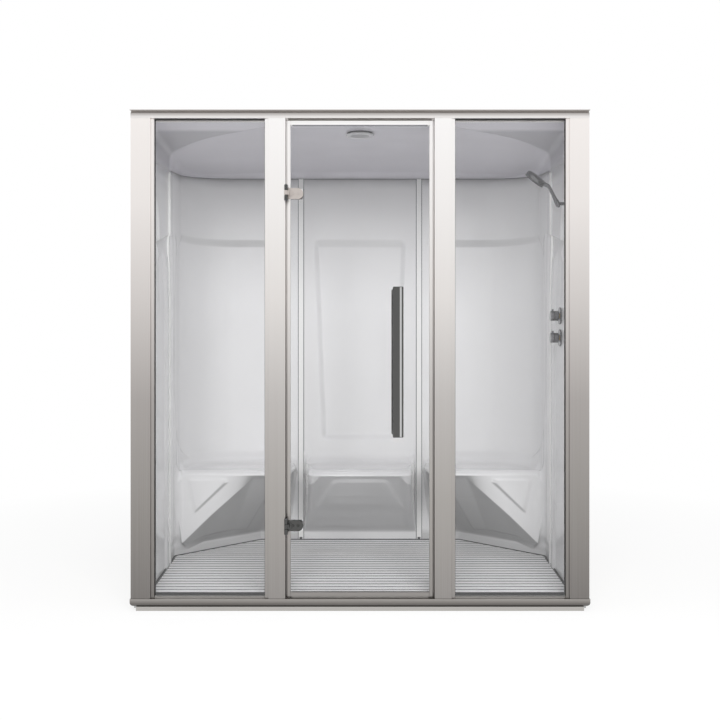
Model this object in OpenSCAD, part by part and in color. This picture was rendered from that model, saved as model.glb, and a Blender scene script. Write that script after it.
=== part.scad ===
// Steam cabin with a glazed front, three moulded seats and a hinged glass door.
// X runs to the right, Y from the front to the back and Z up. Inside the modules Y is
// measured from the front face of the posts, and in_place() centres the whole on the origin.

/* [Cabin] */
// Width across the outer faces of the two front posts
cabin_w = 1920; // [1840:10:2100]
// Height from the ground to the top of the header cap
cabin_h = 2100; // [2060:10:2300]
// Depth from the front face of the posts to the back of the rear frame
cabin_d = 1200; // [1180:10:1300]

/* [Front frame] */
// Width of the face of each outer post
post_w = 83; // [70:1:95]
// Width of the face of each mullion beside the door
mullion_w = 73; // [60:1:85]
// Depth of the posts, mullions and header, front to back
frame_d = 50; // [48:1:58]
// Wall thickness of the hollow profiles
profile_wall = 3; // [2:0.5:4]
// Width of the stepped bead that holds a pane
bead_w = 14; // [12:1:20]
// How far the bead stands back from the face of its profile
bead_back = 8; // [4:1:12]
// Height of the header without its cap
header_h = 31; // [26:1:45]
// Height of the cap strip on the header
cap_h = 5; // [3:1:8]
// Height of the sill
sill_h = 34; // [26:1:44]
// Height of the base strip under the sill
base_h = 18; // [14:1:24]
// How far the base strip is set in at each end
base_inset = 21; // [10:1:40]
// How far the sill stands out past the posts at each end and in front
sill_out = 3; // [1:0.5:6]
// Radius of the lower end corners of the sill
sill_r = 20; // [8:1:24]

/* [Glazing] */
// Thickness of the toughened glass
glass_th = 8; // [6:1:10]
// Distance from the face of the posts to the front of the glass
glass_y = 20; // [18:1:24]
// How deep a pane sits in its groove
pocket = 10; // [8:1:11]
// Thickness of the gasket on each face of a pane
gasket_th = 1.2; // [0.8:0.1:2]
// Width of the gasket round a pane
gasket_w = 13; // [12:1:18]

/* [Door] */
// Width of the door leaf
door_w = 610; // [560:5:660]
// Gap between the leaf and each mullion
door_gap = 7; // [6:0.5:9]
// Gap under the leaf and over it
door_lift = 6; // [4:1:10]
// Width of the two stiles
stile_w = 13; // [12:1:20]
// Depth of the stiles and rails
leaf_d = 20; // [18:1:24]
// Height of the top and bottom rail
rail_h = 18; // [14:1:26]

/* [Hinges] */
// Distance from the top of the door leaf down to the upper hinge
upper_hinge_drop = 306; // [200:2:500]
// Height of the centre of the lower hinge
lower_hinge_z = 356; // [250:10:500]
// Diameter of the knuckles
knuckle_d = 15; // [13:0.5:18]
// Diameter of the hinge pins
pin_d = 6; // [5:0.5:8]
// Height of the whole stack of knuckles
knuckle_h = 60; // [54:1:72]
// Height of the plate on the glass
hinge_plate_h = 46; // [40:1:50]
// Length of the plate on the glass
hinge_plate_l = 66; // [55:1:80]
// Radial running clearance of the pin in the moving knuckle
pin_play = 0.06; // [0.02:0.01:0.1]

/* [Handle] */
// Length of the handle bars
handle_l = 622; // [400:2:900]
// Width of the handle bars
handle_w = 44; // [30:1:60]
// Thickness of the handle bars
handle_th = 14; // [10:1:18]
// Height of the middle of the handle
handle_z = 1043; // [900:1:1150]
// Distance of the middle of the handle from the middle of the door
handle_x = 157; // [120:1:220]
// Clear space between the glass and a bar
handle_reach = 64; // [50:1:80]
// Diameter of the stand-offs
standoff_d = 16; // [12:1:20]

/* [Shells] */
// Thickness of the moulded acrylic
shell_th = 6; // [4:0.5:8]
// Distance from the back of the cabin to the face of the rear wall
back_space = 63; // [60:1:80]
// Distance from the side of the cabin to the side wall at the front
side_front_in = 57; // [50:1:70]
// Distance from the side of the cabin to the side wall at the seats
side_rear_in = 22; // [20:1:30]
// Depth of the seam between side panel and corner module
side_seam_y = 590; // [540:5:640]
// Width of the middle module
middle_w = 650; // [600:10:700]
// Radius of the rear corners of the walls
corner_r = 250; // [200:10:280]
// Leg of the cut-off rear corners of the floor
floor_cut = 392; // [340:4:420]
// Height of the seats
seat_z = 490; // [440:5:540]
// Distance from the rear wall to the front of the middle seat
middle_seat_d = 432; // [380:4:460]
// Distance from the rear wall to the front of the corner seats
corner_seat_d = 402; // [360:2:440]
// Depth of the hollows in the back rests
rest_depth = 22; // [10:1:24]
// Distance from the flat ceiling down to the top of the back rests
rest_drop = 360; // [300:10:500]
// Width of the joint strips over the seams
strip_w = 26; // [20:1:27]

/* [Floor] */
// Height of the top of the slats
floor_z = 59; // [56:1:62]
// Number of slats
slat_count = 23; // [16:1:28]
// Gap between two slats
slat_gap = 8; // [5:0.5:12]
// Thickness of a slat
slat_th = 12; // [8:1:14]
// Gap between the ends of the slats and the walls
slat_end_gap = 12; // [8:1:20]
// Height of the underside of the tray
tray_z = 20; // [16:1:22]
// Height of the tray's rim, which carries the walls
rim_z = 50; // [48:1:52]
// Thickness of the bottom of the tray
tray_th = 8; // [5:1:10]

/* [Ceiling] */
// Distance from the top of the cabin down to the flat part of the ceiling
ceiling_drop = 50; // [48:1:90]
// How far the top edge of the side walls drops from back to front
side_drop = 146; // [60:2:200]
// Height of the dome above the flat part
dome_h = 34; // [10:1:36]
// Diameter of the ceiling lamp
lamp_d = 128; // [90:1:160]
// Distance from the face of the posts to the middle of the lamp
lamp_y = 287; // [240:5:400]

/* [Shower] */
// Distance from the face of the posts to the valves
valve_y = 335; // [300:5:420]
// Distance from the face of the posts to the shower bracket
shower_y = 205; // [180:5:260]
// Height of the upper valve
upper_valve_z = 1252; // [1200:5:1350]
// Distance between the two valves
valve_pitch = 100; // [90:1:140]
// Diameter of the round valve plates
valve_plate_d = 78; // [60:1:86]
// Diameter of the valve knobs
knob_d = 46; // [38:1:56]
// Distance from the flat ceiling down to the shower bracket
holder_drop = 308; // [280:1:350]
// Tilt of the hand shower from the vertical
shower_tilt = 26; // [15:1:35]
// Length of the grip of the hand shower
grip_l = 120; // [110:2:150]
// Diameter of the grip
grip_d = 16; // [16:1:24]
// Diameter of the shower head
head_d = 96; // [80:1:110]
// Thickness of the shower head
head_th = 26; // [18:1:34]
// How far the shower head is turned towards the back wall
head_turn = 22; // [0:1:40]

/* [Rear frame] */
// Side of the square uprights and rails
tube = 30; // [25:1:32]
// Thickness of the flat side bars
bar_th = 14; // [10:1:14]
// Diameter of the levelling feet of the tray
foot_d = 50; // [40:1:60]
// Distance from the side of the cabin to the outer feet
foot_in = 340; // [300:5:400]
// Distance from the side of the cabin to the outer bearers of the slats
bearer_in = 480; // [440:5:520]

/* [Hidden] */

$fn = 48;
// Clearance between fixed pieces that are set against each other
seat_gap = 0.3;
half_w = cabin_w / 2;
// The bars of the handle reach furthest to the front
front_reach = handle_reach + handle_th - glass_y;
y_shift = (front_reach - cabin_d) / 2;

// Heights of the front frame
sill_top = base_h + sill_h;
header_z1 = cabin_h - cap_h;
header_z0 = header_z1 - header_h;
groove = glass_th + 2 * gasket_th;
groove_y = glass_y - gasket_th;
groove_deep = pocket + 1;

// Door and mullions
leaf_x = door_w / 2;
mullion_x = leaf_x + door_gap;
pane_x0 = mullion_x + mullion_w + bead_w - pocket;
pane_x1 = half_w - post_w - bead_w + pocket;
pane_z0 = sill_top - pocket;
pane_z1 = header_z0 + pocket;
leaf_z0 = sill_top + door_lift;
leaf_z1 = header_z0 - door_lift - 2;
upper_hinge_z = leaf_z1 - upper_hinge_drop;
leaf_y = glass_y + glass_th / 2 - leaf_d / 2;
stop_th = 5;
stop_w = door_gap + 6;
stop_y = leaf_y + leaf_d + 2;
seal_th = stop_y - leaf_y - leaf_d - seat_gap;

// Hinges, whose axis lies in front of the gap
hinge_x = -leaf_x - door_gap / 2;
hinge_y = -knuckle_d / 2 - 1.5;
knuckle_part = (knuckle_h - 2) / 3;
hinge_plate_th = 4;
hinge_screw_d = 8;

// Walls, in plan
back_y = cabin_d - back_space;
side_x1 = half_w - side_rear_in;
side_x0 = half_w - side_front_in;
cut_y = back_y - floor_cut;
side_slope = (side_x1 - side_x0) / (cut_y - frame_d);
side_angle = atan(side_slope);
corner_y = back_y - corner_r;
corner_x = side_x1 - corner_r;
half_middle = middle_w / 2;
strip_half = strip_w / 2;
function side_x(y) = min(side_x1, side_x0 + side_slope * (y - frame_d));

// Walls, in height
foot_z = rim_z + seat_gap;
flat_z = cabin_h - ceiling_drop;
rest_z = flat_z - rest_drop;
holder_z = flat_z - holder_drop;
plinth_z = foot_z + 55;
back_top_z = flat_z - 6;
function wall_top(y) = back_top_z - side_drop * (back_y - y) / back_y;

// Levels of a wall section over its full height, one for each row of its mesh
flange_levels = [foot_z, plinth_z, plinth_z + 60, plinth_z + 120, plinth_z + 190,
    plinth_z + 270, seat_z - 90, seat_z - 60, seat_z - 30, seat_z, seat_z + 20,
    seat_z + 40, seat_z + 65, seat_z + 100, seat_z + 140, seat_z + 190,
    each [for (k = [0.25, 0.5, 0.7, 0.85]) mix(seat_z + 190, rest_z - 22, k)],
    rest_z - 22, rest_z + 22, rest_z + 150];
rows = len(flange_levels);

function mix(a, b, k) = a + (b - a) * k;
function clamp01(v) = max(0, min(1, v));
function smooth(v) = let (k = clamp01(v)) k * k * (3 - 2 * k);
function line_points(a, b, n) = [for (i = [1:n]) mix(a, b, i / n)];
function arc_points(c, r, a0, a1, n) =
    [for (i = [1:n]) c + r * [cos(mix(a0, a1, i / n)), sin(mix(a0, a1, i / n))]];

// Length of a path up to each of its points, and the point at a given length along it
function lengths(p, i = 0, sum = 0, out = []) =
    i >= len(p) ? out
    : let (s = i == 0 ? 0 : sum + norm(p[i] - p[i - 1]))
      lengths(p, i + 1, s, concat(out, [s]));
function at_length(p, ls, s) =
    let (i = max([for (k = [0:len(p) - 2]) if (ls[k] <= s) k]))
    mix(p[i], p[i + 1], (s - ls[i]) / (ls[i + 1] - ls[i]));
function spread(p, n) =
    let (ls = lengths(p), total = ls[len(p) - 1])
    [for (i = [1:n]) at_length(p, ls, total * i / n * 0.999999)];

// Plan of the right corner module: columns from the side seam to the rear seam
side_start = [side_x(side_seam_y) , side_seam_y + seat_gap / 2];
side_flange = [side_x(side_seam_y + strip_half + 2), side_seam_y + strip_half + 2];
seat_front_y = back_y - corner_seat_d;
lip_r = 40;
lip_corner = [side_x(seat_front_y - lip_r), seat_front_y - lip_r];
rear_flange = [half_middle + strip_half + 2, back_y];
rear_end = [half_middle + seat_gap / 2, back_y];
seat_end_x = rear_flange[0] + 14;
corner_columns = 18;
corner_head = concat([side_start, side_flange], line_points(side_flange, lip_corner, 2));
wall_run = concat([lip_corner, [side_x1, corner_y]],
    arc_points([corner_x, corner_y], corner_r, 0, 90, 8), [rear_flange]);
foot_run = [lip_corner, [side_x1, cut_y], [side_x1 - floor_cut, back_y], rear_flange];
corner_wall = concat(corner_head, spread(wall_run, corner_columns), [rear_end]);
corner_foot = concat(corner_head, spread(foot_run, corner_columns), [rear_end]);
corner_lip = concat(corner_head,
    arc_points(lip_corner - [lip_r, 0], lip_r, 0, 90, 3),
    line_points([lip_corner[0] - lip_r, seat_front_y], [seat_end_x + lip_r, seat_front_y], 8),
    arc_points([seat_end_x + lip_r, seat_front_y + lip_r], lip_r, -90, -180, 3),
    line_points([seat_end_x, seat_front_y + lip_r], [rear_flange[0] + 4, back_y - 20], 3),
    [rear_flange, rear_end]);

// Plan of the middle module: columns from right to left
middle_lip_r = 60;
middle_seat_x = half_middle - 62;
middle_front_y = back_y - middle_seat_d;
middle_columns = 20;
middle_flange = [half_middle - strip_half - 2, back_y];
middle_end = [half_middle - seat_gap / 2, back_y];
function mirrored(p) = [for (i = [len(p) - 1:-1:0]) [-p[i][0], p[i][1]]];
middle_half_lip = concat([middle_end, middle_flange],
    line_points([middle_flange[0] - 6, back_y - 20],
        [middle_seat_x, middle_front_y + middle_lip_r], 3),
    arc_points([middle_seat_x - middle_lip_r, middle_front_y + middle_lip_r],
        middle_lip_r, 0, -90, 4));
middle_lip = concat(middle_half_lip, line_points(
        [middle_seat_x - middle_lip_r, middle_front_y],
        [middle_lip_r - middle_seat_x, middle_front_y], 7),
    mirrored([for (i = [0:len(middle_half_lip) - 2]) middle_half_lip[i]]));
middle_wall = concat([middle_end, middle_flange],
    line_points(middle_flange, [-middle_flange[0], back_y], len(middle_lip) - 3),
    [[-middle_end[0], back_y]]);

// The plinth runs out to nothing where the cut-off corner of the floor meets the side
plinth_run = 125;
function plinth_top(p) =
    foot_z + 10 + (plinth_z - foot_z - 10) * clamp01((side_x1 - p[0]) / plinth_run);

// Lower edge of the front of a seat
crease_low = foot_z + 33;
crease_z = seat_z - 43;
middle_crease_z = seat_z - 35;
function corner_crease(p) =
    mix(crease_low, crease_z, clamp01((side_x1 - p[0]) / (side_x1 - 530)));

// Depth of a back rest's hollow at a point of the wall
function rest_level(z) = smooth((rest_z + 22 - z) / 44) * smooth((z - seat_z - 60) / 90);
function rest_side_y(z) = 700 + 230 * pow(clamp01((z - 1100) / 600), 2)
    + 100 * pow(clamp01((1000 - z) / 400), 2);
function corner_rest(p, z) = rest_depth * rest_level(z)
    * smooth((p[1] - rest_side_y(z)) / 60) * smooth((p[0] - half_middle - 90) / 60)
    * (1 - 0.5 * clamp01((p[0] - corner_x) / corner_r));
// Rolled wing of a corner module, between the side seam and the hollow of its back rest
roll_out = 8;
function corner_roll(p, z) = (roll_out * smooth((p[1] - side_seam_y - 20) / 50)
        * smooth((side_seam_y + 200 - p[1]) / 60) * smooth((rest_z + 10 - z) / 60)
        * smooth((z - plinth_z - 5) / 60) - scoop(p[1], z))
    * smooth((p[0] - side_x1 + 48) / 30);

// Scoop in the side walls under a sloping ledge, deepest at its front end
scoop_depth = 18;
scoop_y0 = 345;
scoop_y1 = 740;
function ledge_z(y) = mix(rest_z - 88, rest_z + 6, (y - scoop_y0) / (scoop_y1 - scoop_y0));
function scoop(y, z) = scoop_depth * clamp01((scoop_y1 - y) / (scoop_y1 - scoop_y0))
    * smooth((y - scoop_y0 + 30) / 30) * smooth((ledge_z(y) - z) / 14)
    * smooth((z - ledge_z(y) + 330) / 310);

function middle_rest_x(z) = mix(185, 228, clamp01((z - 620) / 1050));
function middle_rest(p, z) = rest_depth * rest_level(z)
    * smooth((middle_rest_x(z) + 26 - abs(p[0])) / 26);

// One point of a moulded module. The section runs up the plinth, out along the underside
// of the seat to its crease, over the lip, back across the seat and up the back rest.
function seat_point(row, foot, lip, wall, out, crease, top, rest, roll) =
    let (
        deep = norm(wall - lip),
        full = clamp01(deep / 120),
        back = deep < 1 ? [0, 0] : (wall - lip) / deep,
        lip1 = lip + back * min(0.1 * deep, 15),
        lip2 = lip + back * min(0.25 * deep, 52),
        rear0 = wall - back * min(0.35 * deep, 62),
        rear1 = wall - back * min(0.12 * deep, 22),
        rear2 = wall - back * min(0.04 * deep, 6),
        base = plinth_top(foot),
        plans = [foot, foot, mix(foot, lip, 0.34), mix(foot, lip, 0.67),
            mix(foot, lip, 0.93), lip, lip, lip1, lip2, mix(lip2, rear0, 0.3),
            mix(lip2, rear0, 0.65), rear0, rear1, rear2, wall],
        levels = [foot_z, base, mix(base, crease, 0.34),
            mix(base, crease, 0.67), mix(base, crease, 0.93), crease,
            seat_z - 27, seat_z - 9, seat_z, seat_z - 5, seat_z - 5, seat_z + 2,
            seat_z + 26, seat_z + 80, seat_z + 150],
        level = row < len(levels) ? mix(flange_levels[row], levels[row], full)
            : flange_levels[row],
        plan = row < len(plans) ? plans[row] : wall
    )
    row == rows ? [wall[0], wall[1], top]
    : let (
        hollow = row < 14 ? 0 : rest(wall, level),
        xy = plan + out * (hollow - roll(plan, level))
    ) [xy[0], xy[1], level];

function outward(p, i) =
    let (d = p[min(i + 1, len(p) - 1)] - p[max(i - 1, 0)], l = norm(d)) [d[1], -d[0]] / l;

function corner_grid() = [for (i = [0:len(corner_wall) - 1]) [for (row = [0:rows])
    seat_point(row, corner_foot[i], corner_lip[i], corner_wall[i], outward(corner_wall, i),
        corner_crease(corner_lip[i]), wall_top(corner_wall[i][1]),
        function (p, z) corner_rest(p, z), function (p, z) corner_roll(p, z))]];

function middle_grid() = [for (i = [0:len(middle_wall) - 1]) [for (row = [0:rows])
    seat_point(row, middle_wall[i], middle_lip[i], middle_wall[i], [0, 1],
        middle_crease_z, wall_top(back_y), function (p, z) middle_rest(p, z),
        function (p, z) 0)]];

// Right side panel: a raised column beside the seam, the scoop and a hollow near the post
side_rows = [foot_z, plinth_z, each [for (k = [0.2, 0.4, 0.6, 0.8]) mix(plinth_z,
    rest_z - 210, k)], each [for (d = [-210:35:140]) rest_z + d]];
column_out = 9;
hollow_out = 12;
hollow_y = 190;
hollow_ry = 155;
hollow_rz = 165;
// A flat boss in the hollow carries the shower bracket
function boss(y, z) = smooth((60 - max(abs(y - shower_y), abs(z - holder_z))) / 25);
function side_relief(y, z) =
    column_out * smooth((y - side_seam_y + 130) / 40) * smooth((side_seam_y - 22 - y) / 20)
        * smooth((ledge_z(y) - 60 - z) / 60)
    - scoop(y, z) - hollow_out * smooth((y - frame_d - 35) / 50) * (1 - boss(y, z))
        * smooth((1 - norm([(y - hollow_y) / hollow_ry, (z - rest_z + 60) / hollow_rz])) / 0.4);
side_panel_y0 = frame_d + 2 * seat_gap;
side_ys = concat([side_panel_y0],
    [for (k = [1:12]) mix(side_panel_y0, side_seam_y - 132, k / 12)],
    [for (d = [120, 110, 98, 90, 60, 42, 36, 30, 22]) side_seam_y - d],
    [side_seam_y - seat_gap / 2]);
function side_grid() = [for (y = side_ys) [for (row = [0:len(side_rows)]) let (
        z = row == len(side_rows) ? wall_top(y) : side_rows[row])
    [side_x(y) - side_relief(y, z), y, z]]];

// Ceiling, across from left to right and then from front to back
dome_centre_y = 935;
dome_rx = 1000;
dome_ry = 900;
function dome(x, y, half) =
    let (r2 = pow(x / dome_rx, 2) + pow((y - dome_centre_y) / dome_ry, 2))
    dome_h * max(0, 1 - r2) * (1 - pow(clamp01(abs(x) / half), 6))
        * (1 - pow(clamp01(y / back_y), 8));
fascia_y = 160;
function flat_level(y) = flat_z + 11 * clamp01((fascia_y - y) / (fascia_y - frame_d));
ceiling_ys = concat(
    [frame_d + seat_gap, 105, fascia_y, 200, 240, 287, 335, 390, 450, 520, 600, 680],
    [for (k = [1:3]) mix(680, corner_y, k / 3)],
    [for (a = [18, 36, 50, 62, 71]) corner_y + corner_r * sin(a)], [back_y - 6, back_y]);
function ceiling_half(y) = y < corner_y ? side_x(y)
    : corner_x + sqrt(max(0, pow(corner_r, 2) - pow(y - corner_y, 2)));
ceiling_steps = 9;
function ceiling_section(j) =
    let (
        y = ceiling_ys[j],
        last = j == len(ceiling_ys) - 1,
        half = ceiling_half(y),
        low = wall_top(y) + seat_gap,
        high = last ? low : flat_level(y),
        r = last ? 4 : min(30, (high - low) * 0.8),
        inner = half - r,
        edge = [[half, low], [half, high - r], [half - 0.3 * r, high - 0.3 * r],
            [inner, high]],
        end_edge = [[half, low], [half - 0.3 * r, low], [half - 0.6 * r, low], [inner, low]],
        side = last ? end_edge : edge,
        top = [for (k = [1 - ceiling_steps:ceiling_steps - 1]) let (
                x = inner * k / ceiling_steps)
            [x, high + (last ? 0 : dome(x, y, inner))]]
    )
    [for (p = concat([for (p = side) [-p[0], p[1]]], top, [for (k = [3:-1:0]) side[k]]))
        [p[0], y, p[1]]];
function ceiling_grid() =
    let (
        sections = [for (j = [0:len(ceiling_ys) - 1]) ceiling_section(j)]
    )
    [for (i = [0:len(sections[0]) - 1]) [for (s = sections) s[i]]];

// Places of the fittings
lamp_r2 = pow((lamp_y - dome_centre_y) / dome_ry, 2);
lamp_z = flat_z + dome_h * (1 - lamp_r2);
lamp_lean = atan(2 * dome_h * (dome_centre_y - lamp_y) / pow(dome_ry, 2));
lamp_hole_d = lamp_d - 34;
lower_valve_z = upper_valve_z - valve_pitch;
nozzle_in = 81;
nozzle_x = side_x1 - floor_cut - nozzle_in;
nozzle_z = floor_z + 24;
drain_y = 400;
drain_d = 90;
outlet_d = 50;
outlet_floor = 8;

// Floor
first_slat_y = 80;
last_slat_y = back_y - slat_end_gap;
slat_pitch = (last_slat_y - first_slat_y + slat_gap) / slat_count;
slat_w = slat_pitch - slat_gap;
front_slats = floor((seat_front_y - 30 - first_slat_y) / slat_pitch);
function floor_half(y) = min(side_x(y), side_x1 + cut_y - y) - slat_end_gap;

module in_place() { translate([0, y_shift, 0]) children(); }
module both_sides() { children(); mirror([1, 0, 0]) children(); }

// A sheet of even thickness on a grid of points, thickened away from the room
module sheet(grid, th) {
    ni = len(grid);
    nj = len(grid[0]);
    function unit(v) = v / norm(v);
    function normal(i, j) = unit(cross(
        grid[min(i + 1, ni - 1)][j] - grid[max(i - 1, 0)][j],
        grid[i][min(j + 1, nj - 1)] - grid[i][max(j - 1, 0)]));
    inner = [for (i = [0:ni - 1]) for (j = [0:nj - 1]) grid[i][j]];
    outer = [for (i = [0:ni - 1]) for (j = [0:nj - 1]) grid[i][j] + th * normal(i, j)];
    function at(i, j, s) = s * ni * nj + i * nj + j;
    function quad(a, b, c, d) = [[a, b, c], [a, c, d]];
    faces = concat(
        [for (i = [0:ni - 2]) for (j = [0:nj - 2])
            each quad(at(i, j, 0), at(i + 1, j, 0), at(i + 1, j + 1, 0), at(i, j + 1, 0))],
        [for (i = [0:ni - 2]) for (j = [0:nj - 2])
            each quad(at(i, j, 1), at(i, j + 1, 1), at(i + 1, j + 1, 1), at(i + 1, j, 1))],
        [for (i = [0:ni - 2])
            each quad(at(i + 1, 0, 0), at(i, 0, 0), at(i, 0, 1), at(i + 1, 0, 1))],
        [for (i = [0:ni - 2]) each quad(at(i, nj - 1, 0), at(i + 1, nj - 1, 0),
            at(i + 1, nj - 1, 1), at(i, nj - 1, 1))],
        [for (j = [0:nj - 2])
            each quad(at(0, j, 0), at(0, j + 1, 0), at(0, j + 1, 1), at(0, j, 1))],
        [for (j = [0:nj - 2]) each quad(at(ni - 1, j + 1, 0), at(ni - 1, j, 0),
            at(ni - 1, j, 1), at(ni - 1, j + 1, 1))]);
    polyhedron(points = concat(inner, outer), faces = faces);
}

// Plate with rounded corners, lying in the XZ plane and thickened towards +Y
module wall_plate(w, h, r, th) {
    translate([0, th, 0]) rotate([90, 0, 0]) linear_extrude(th) rounded_square(w, h, r);
}

module rounded_square(w, h, r) {
    square([w - 2 * r, h], center = true);
    square([w, h - 2 * r], center = true);
    for (sx = [-1, 1], sy = [-1, 1])
        translate([sx * (w / 2 - r), sy * (h / 2 - r)]) circle(r);
}

module y_cylinder(d, l) { rotate([-90, 0, 0]) cylinder(d = d, h = l); }
module x_cylinder(d, l) { rotate([0, 90, 0]) cylinder(d = d, h = l); }

// Base and floor

module floor_outline(extra) {
    half0 = side_x0 + extra;
    half1 = side_x1 + extra;
    cut = floor_cut + extra * (2 - sqrt(2));
    polygon([[-half0, frame_d + seat_gap], [half0, frame_d + seat_gap],
        [half1, back_y + extra - cut], [half1 - cut, back_y + extra],
        [cut - half1, back_y + extra], [-half1, back_y + extra - cut]]);
}

module tray_pan() in_place() color("gainsboro") difference() {
    translate([0, 0, tray_z]) linear_extrude(rim_z - tray_z) floor_outline(shell_th);
    difference() {
        translate([0, 0, tray_z + tray_th]) linear_extrude(rim_z) floor_outline(-8);
        translate([-half_w, 0, 0]) cube([cabin_w, first_slat_y - 8, rim_z]);
    }
    translate([0, drain_y, 0]) cylinder(d = drain_d, h = rim_z);
}

module tray_feet() in_place() color("dimgray")
    for (x = [foot_in - half_w, 0, half_w - foot_in], y = [frame_d + 2 * foot_d,
        cut_y - foot_d - 5]) translate([x, y, 0]) {
        cylinder(d = foot_d, h = 7);
        cylinder(d = foot_d * 0.4, h = tray_z);
    }

module drain_body() in_place() color("lightgray") translate([0, drain_y, 0]) difference() {
    union() {
        translate([0, 0, tray_z + tray_th + seat_gap]) cylinder(d = drain_d + 24, h = 3);
        translate([0, 0, 2]) cylinder(d = drain_d - 1, h = tray_z + tray_th);
    }
    translate([0, 0, tray_z + tray_th - 2]) cylinder(d = drain_d - 8, h = rim_z);
    translate([0, 0, outlet_floor]) cylinder(d = drain_d - 20, h = rim_z);
    translate([0, 0, -1]) cylinder(d = outlet_d, h = rim_z);
}

module drain_grate() in_place() color("silver")
    translate([0, drain_y, tray_z + tray_th - 2 + seat_gap]) difference() {
        cylinder(d = drain_d - 10, h = 3);
        for (a = [0:45:315]) rotate(a) translate([24, 0, -1]) cylinder(d = 10, h = 5);
        translate([0, 0, -1]) cylinder(d = 10, h = 5);
    }

module slats(first, last) color("silver") for (i = [first:last]) {
    y0 = first_slat_y + i * slat_pitch;
    y1 = y0 + slat_w;
    translate([0, 0, floor_z - slat_th]) linear_extrude(slat_th) polygon([
        [-floor_half(y0), y0], [floor_half(y0), y0],
        each (y0 < cut_y && y1 > cut_y ? [[floor_half(cut_y), cut_y]] : []),
        [floor_half(y1), y1], [-floor_half(y1), y1],
        each (y0 < cut_y && y1 > cut_y ? [[-floor_half(cut_y), cut_y]] : [])]);
}

module bearers(first, last) color("dimgray") {
    y0 = first_slat_y + first * slat_pitch + 4;
    y1 = first_slat_y + last * slat_pitch + slat_w - 4;
    bearer_w = 2 * slat_th;
    for (k = [-1, -1 / 3, 1 / 3, 1])
        translate([k * (half_w - bearer_in) - bearer_w / 2, y0, tray_z + tray_th + seat_gap])
            cube([bearer_w, y1 - y0, floor_z - slat_th - tray_z - tray_th - seat_gap]);
}

module front_floor_slats() in_place() slats(0, front_slats - 1);
module front_floor_bearers() in_place() bearers(0, front_slats - 1);
module rear_floor_slats() in_place() slats(front_slats, slat_count - 1);
module rear_floor_bearers() in_place() bearers(front_slats, slat_count - 1);

// Front frame

module sill() in_place() color("darkgray") difference() {
    intersection() {
        translate([-cabin_w, -sill_out, base_h])
            cube([2 * cabin_w, frame_d + sill_out, sill_h]);
        translate([0, -sill_out, base_h + sill_h / 2]) rotate([-90, 0, 0])
            linear_extrude(frame_d + sill_out) union() {
                square([cabin_w + 2 * sill_out - 2 * sill_r, sill_h], center = true);
                translate([0, -sill_r / 2]) square([cabin_w + 2 * sill_out,
                    sill_h - sill_r], center = true);
                for (s = [-1, 1]) translate([s * (half_w + sill_out - sill_r),
                    sill_h / 2 - sill_r]) circle(sill_r);
            }
        translate([-half_w - sill_out, 0, 0]) rotate([90, 0, 90])
            linear_extrude(cabin_w + 2 * sill_out) union() {
                translate([sill_r - sill_out, base_h]) square([frame_d, sill_h]);
                translate([-sill_out, base_h + sill_r])
                    square([frame_d, sill_h - sill_r]);
                translate([sill_r - sill_out, base_h + sill_r]) circle(sill_r);
            }
    }
    for (s = [-1, 1]) pane_groove(s, sill_top - groove_deep);
}

// Groove along the sill or header for the pane on side s
module pane_groove(s, z) {
    translate([s * (pane_x0 + pane_x1) / 2, groove_y + groove / 2, z + groove_deep / 2 + 1])
        cube([pane_x1 - pane_x0 + 2, groove, groove_deep + 2], center = true);
}

module sill_base() in_place() color("gray")
    translate([base_inset - half_w, 6, 0])
        cube([cabin_w - 2 * base_inset, frame_d - 12, base_h]);

// The lip that carries the ceiling runs between the posts and mullions
lip_spans = [[-mullion_x, mullion_x], [mullion_x + mullion_w, half_w - post_w],
    [post_w - half_w, -mullion_x - mullion_w]];
module header() in_place() color("gainsboro") difference() {
    union() {
        translate([-half_w, 0, header_z0]) cube([cabin_w, frame_d, header_h]);
        for (span = lip_spans) translate([span[0] + seat_gap, frame_d - 4, header_z0 - 5])
            cube([span[1] - span[0] - 2 * seat_gap, 4, 6]);
    }
    translate([-half_w - 1, -1, header_z1 - 9]) cube([cabin_w + 2, 9, 10]);
    translate([0, 0, -2]) for (s = [-1, 1]) pane_groove(s, header_z0);
}

module header_cap() in_place() color("gainsboro")
    translate([-half_w - sill_out, -sill_out, header_z1])
        cube([cabin_w + 2 * sill_out, frame_d + sill_out, cap_h]);

// Hollow profile with a stepped bead towards +X, whose groove holds a pane
module glazed_profile(face_w, stop) linear_extrude(header_z0 - sill_top) difference() {
    union() {
        translate([face_w / 2, frame_d / 2]) rounded_square(face_w, frame_d, 2);
        translate([face_w - 4, bead_back]) square([bead_w + 4, frame_d - 2 * bead_back]);
        if (stop) translate([-stop_w, stop_y]) square([stop_w + 4, stop_th]);
    }
    translate([profile_wall, profile_wall])
        square([face_w - 2 * profile_wall, frame_d - 2 * profile_wall]);
    translate([face_w + bead_w - groove_deep, groove_y]) square([groove_deep + 1, groove]);
}

module right_mullion_shape() translate([mullion_x, 0, sill_top])
    glazed_profile(mullion_w, true);
module left_post_shape() translate([-half_w, 0, sill_top]) glazed_profile(post_w, false);
module left_post() in_place() color("gainsboro") left_post_shape();
module right_post() in_place() color("gainsboro") mirror([1, 0, 0]) left_post_shape();
module right_mullion() in_place() color("gainsboro") right_mullion_shape();
module left_mullion() in_place() color("gainsboro")
    mirror([1, 0, 0]) right_mullion_shape();

module pane_shape(grow_y, inset_side, inset_top) translate([
    pane_x0 + inset_side, glass_y - grow_y, pane_z0 + inset_top])
    cube([pane_x1 - pane_x0 - 2 * inset_side, glass_th + 2 * grow_y,
        pane_z1 - pane_z0 - 2 * inset_top]);

module right_gasket() difference() {
    pane_shape(gasket_th - 0.05, 0, 0);
    pane_shape(gasket_th + 1, gasket_w - 1, gasket_w + 1);
    pane_shape(0, -1, -1);
}

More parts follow.
